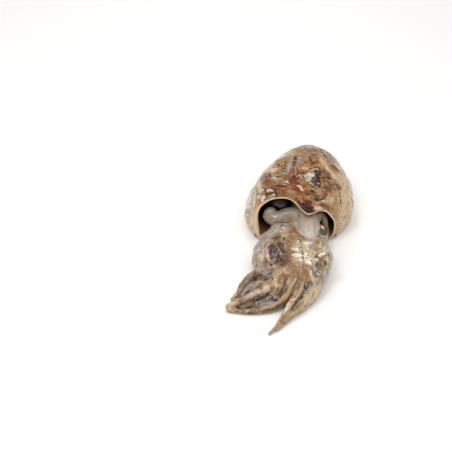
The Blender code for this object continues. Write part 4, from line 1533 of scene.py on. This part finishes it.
# The eyes: dark glossy balls of jelly in a tough clear skin, sunk in the sides of the head. Each is half
# covered by folds of skin, so that the left one shows as a slit beside its pink lid.
look = two_tones("eyeball", tone(50, 36, 40), tone(128, 110, 110), 3.0, 4, 0.45, 0.9, 0.8)
look.finish(roughness=0.14, coat_weight=1.0, coat_roughness=0.04)
# Each eye is its middle, its half sizes and its turn in degrees.
EYES = {
    "eye_left": ((-30.4, -59.0, 29.2), (4.8, 9.0, 6.0), 8.0),
    "eye_right": ((19.2, -61.0, 25.4), (4.4, 7.0, 5.0), -14.0),
}
for name, shape in EYES.items():
    eye = piece(name + "_ball", new_mesh(name + "_ball", [ball(*shape, 48, 64)]), look.matter)
    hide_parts(name)

# The entrails: the soft organs that fill the cavity behind the collar, dark with spilt ink. They lie on
# the belly's wall and are made as one lobe, with the tip of a gill over it.
ENTRAILS = {
    "mass": ((-3.0, 24.0, 10.0), (23.0, 36.0, 12.0), 0),
    "gill": ((-21.0, 27.0, 30.0), (9.0, 12.0, 6.0), 20),
}
entrail_mesh = fused("entrails", [ball(*shape) for shape in ENTRAILS.values()], 1.0, 3)
entrail_smooth = places_of(entrail_mesh)
move_to(entrail_mesh, entrail_smooth + normals_of(entrail_mesh) * (0.9 * lumps(entrail_smooth, 6))[:, None])
look = two_tones("entrails", tone(92, 74, 68), tone(30, 20, 18), 7, 4, 0.2, 0.8)
look.finish(roughness=0.35, coat_weight=0.6, coat_roughness=0.15)
entrails = piece("entrails", entrail_mesh, look.matter)
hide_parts("cuttlefish")

# The table and light: a plain white table under one broad soft lamp, with six small ones that put
# glints on the wet skin. The white room is brightest above and in front, so that the skin mirrors its
# darker back.
TABLE_REACH = 4.0
TABLE_WHITE = (0.975, 0.972, 0.965, 1)
ROOM_WHITE = (1.0, 0.99, 0.98, 1)
BRIGHTEST_WAY = (0.0, -0.5, 0.86)
ROOM_FALL = {"From Min": -0.1, "From Max": 0.95, "To Min": 0.36, "To Max": 0.84}

table_mesh = bpy.data.meshes.new("table")
corners = [(x * TABLE_REACH, y * TABLE_REACH, 0) for x, y in ((-1, -1), (1, -1), (1, 1), (-1, 1))]
table_mesh.from_pydata(corners, [], [(0, 1, 2, 3)])
table = bpy.data.objects.new("table", table_mesh)
look = Shading("table")
look.feed(look.shader.inputs["Base Color"], TABLE_WHITE)
look.finish(roughness=0.7)
table_mesh.materials.append(look.matter)
bpy.context.scene.collection.objects.link(table)

room = bpy.data.worlds.new("room")
room.use_nodes = True
nodes, links = room.node_tree.nodes, room.node_tree.links
sky = nodes.new("ShaderNodeTexCoord")
toward = nodes.new("ShaderNodeVectorMath")
toward.operation = "DOT_PRODUCT"
toward.inputs[1].default_value = BRIGHTEST_WAY
links.new(sky.outputs["Generated"], toward.inputs[0])
fall = nodes.new("ShaderNodeMapRange")
fall.interpolation_type = "SMOOTHSTEP"
for socket, value in ROOM_FALL.items():
    fall.inputs[socket].default_value = value
links.new(toward.outputs["Value"], fall.inputs["Value"])
links.new(fall.outputs["Result"], nodes["Background"].inputs["Strength"])
nodes["Background"].inputs["Color"].default_value = ROOM_WHITE
bpy.context.scene.world = room

# Each lamp is its place in metres, the side of its square and its power in watts.
LAMPS = {
    "overhead": ((-0.45, -0.20, 1.0), 0.7, 2.4),
    "back_glint": ((0.05, 0.45, 1.10), 0.05, 0.6),
    "middle_glint": ((0.12, -0.20, 1.15), 0.05, 0.6),
    "right_glint": ((0.50, 0.00, 1.00), 0.05, 0.6),
    "left_glint": ((-0.40, -0.25, 1.10), 0.05, 0.9),
    "front_glint": ((0.05, -0.65, 1.00), 0.05, 1.0),
    "low_glint": ((-0.10, 0.85, 0.70), 0.06, 1.0),
}
for name, (place, side, power) in LAMPS.items():
    light = bpy.data.lights.new(name, "AREA")
    light.size = side
    light.energy = power
    lamp = bpy.data.objects.new(name, light)
    lamp.location = place
    lamp.rotation_euler = (-Vector(place)).to_track_quat("-Z", "Y").to_euler()
    bpy.context.scene.collection.objects.link(lamp)
bpy.context.scene.view_settings.view_transform = "Standard"
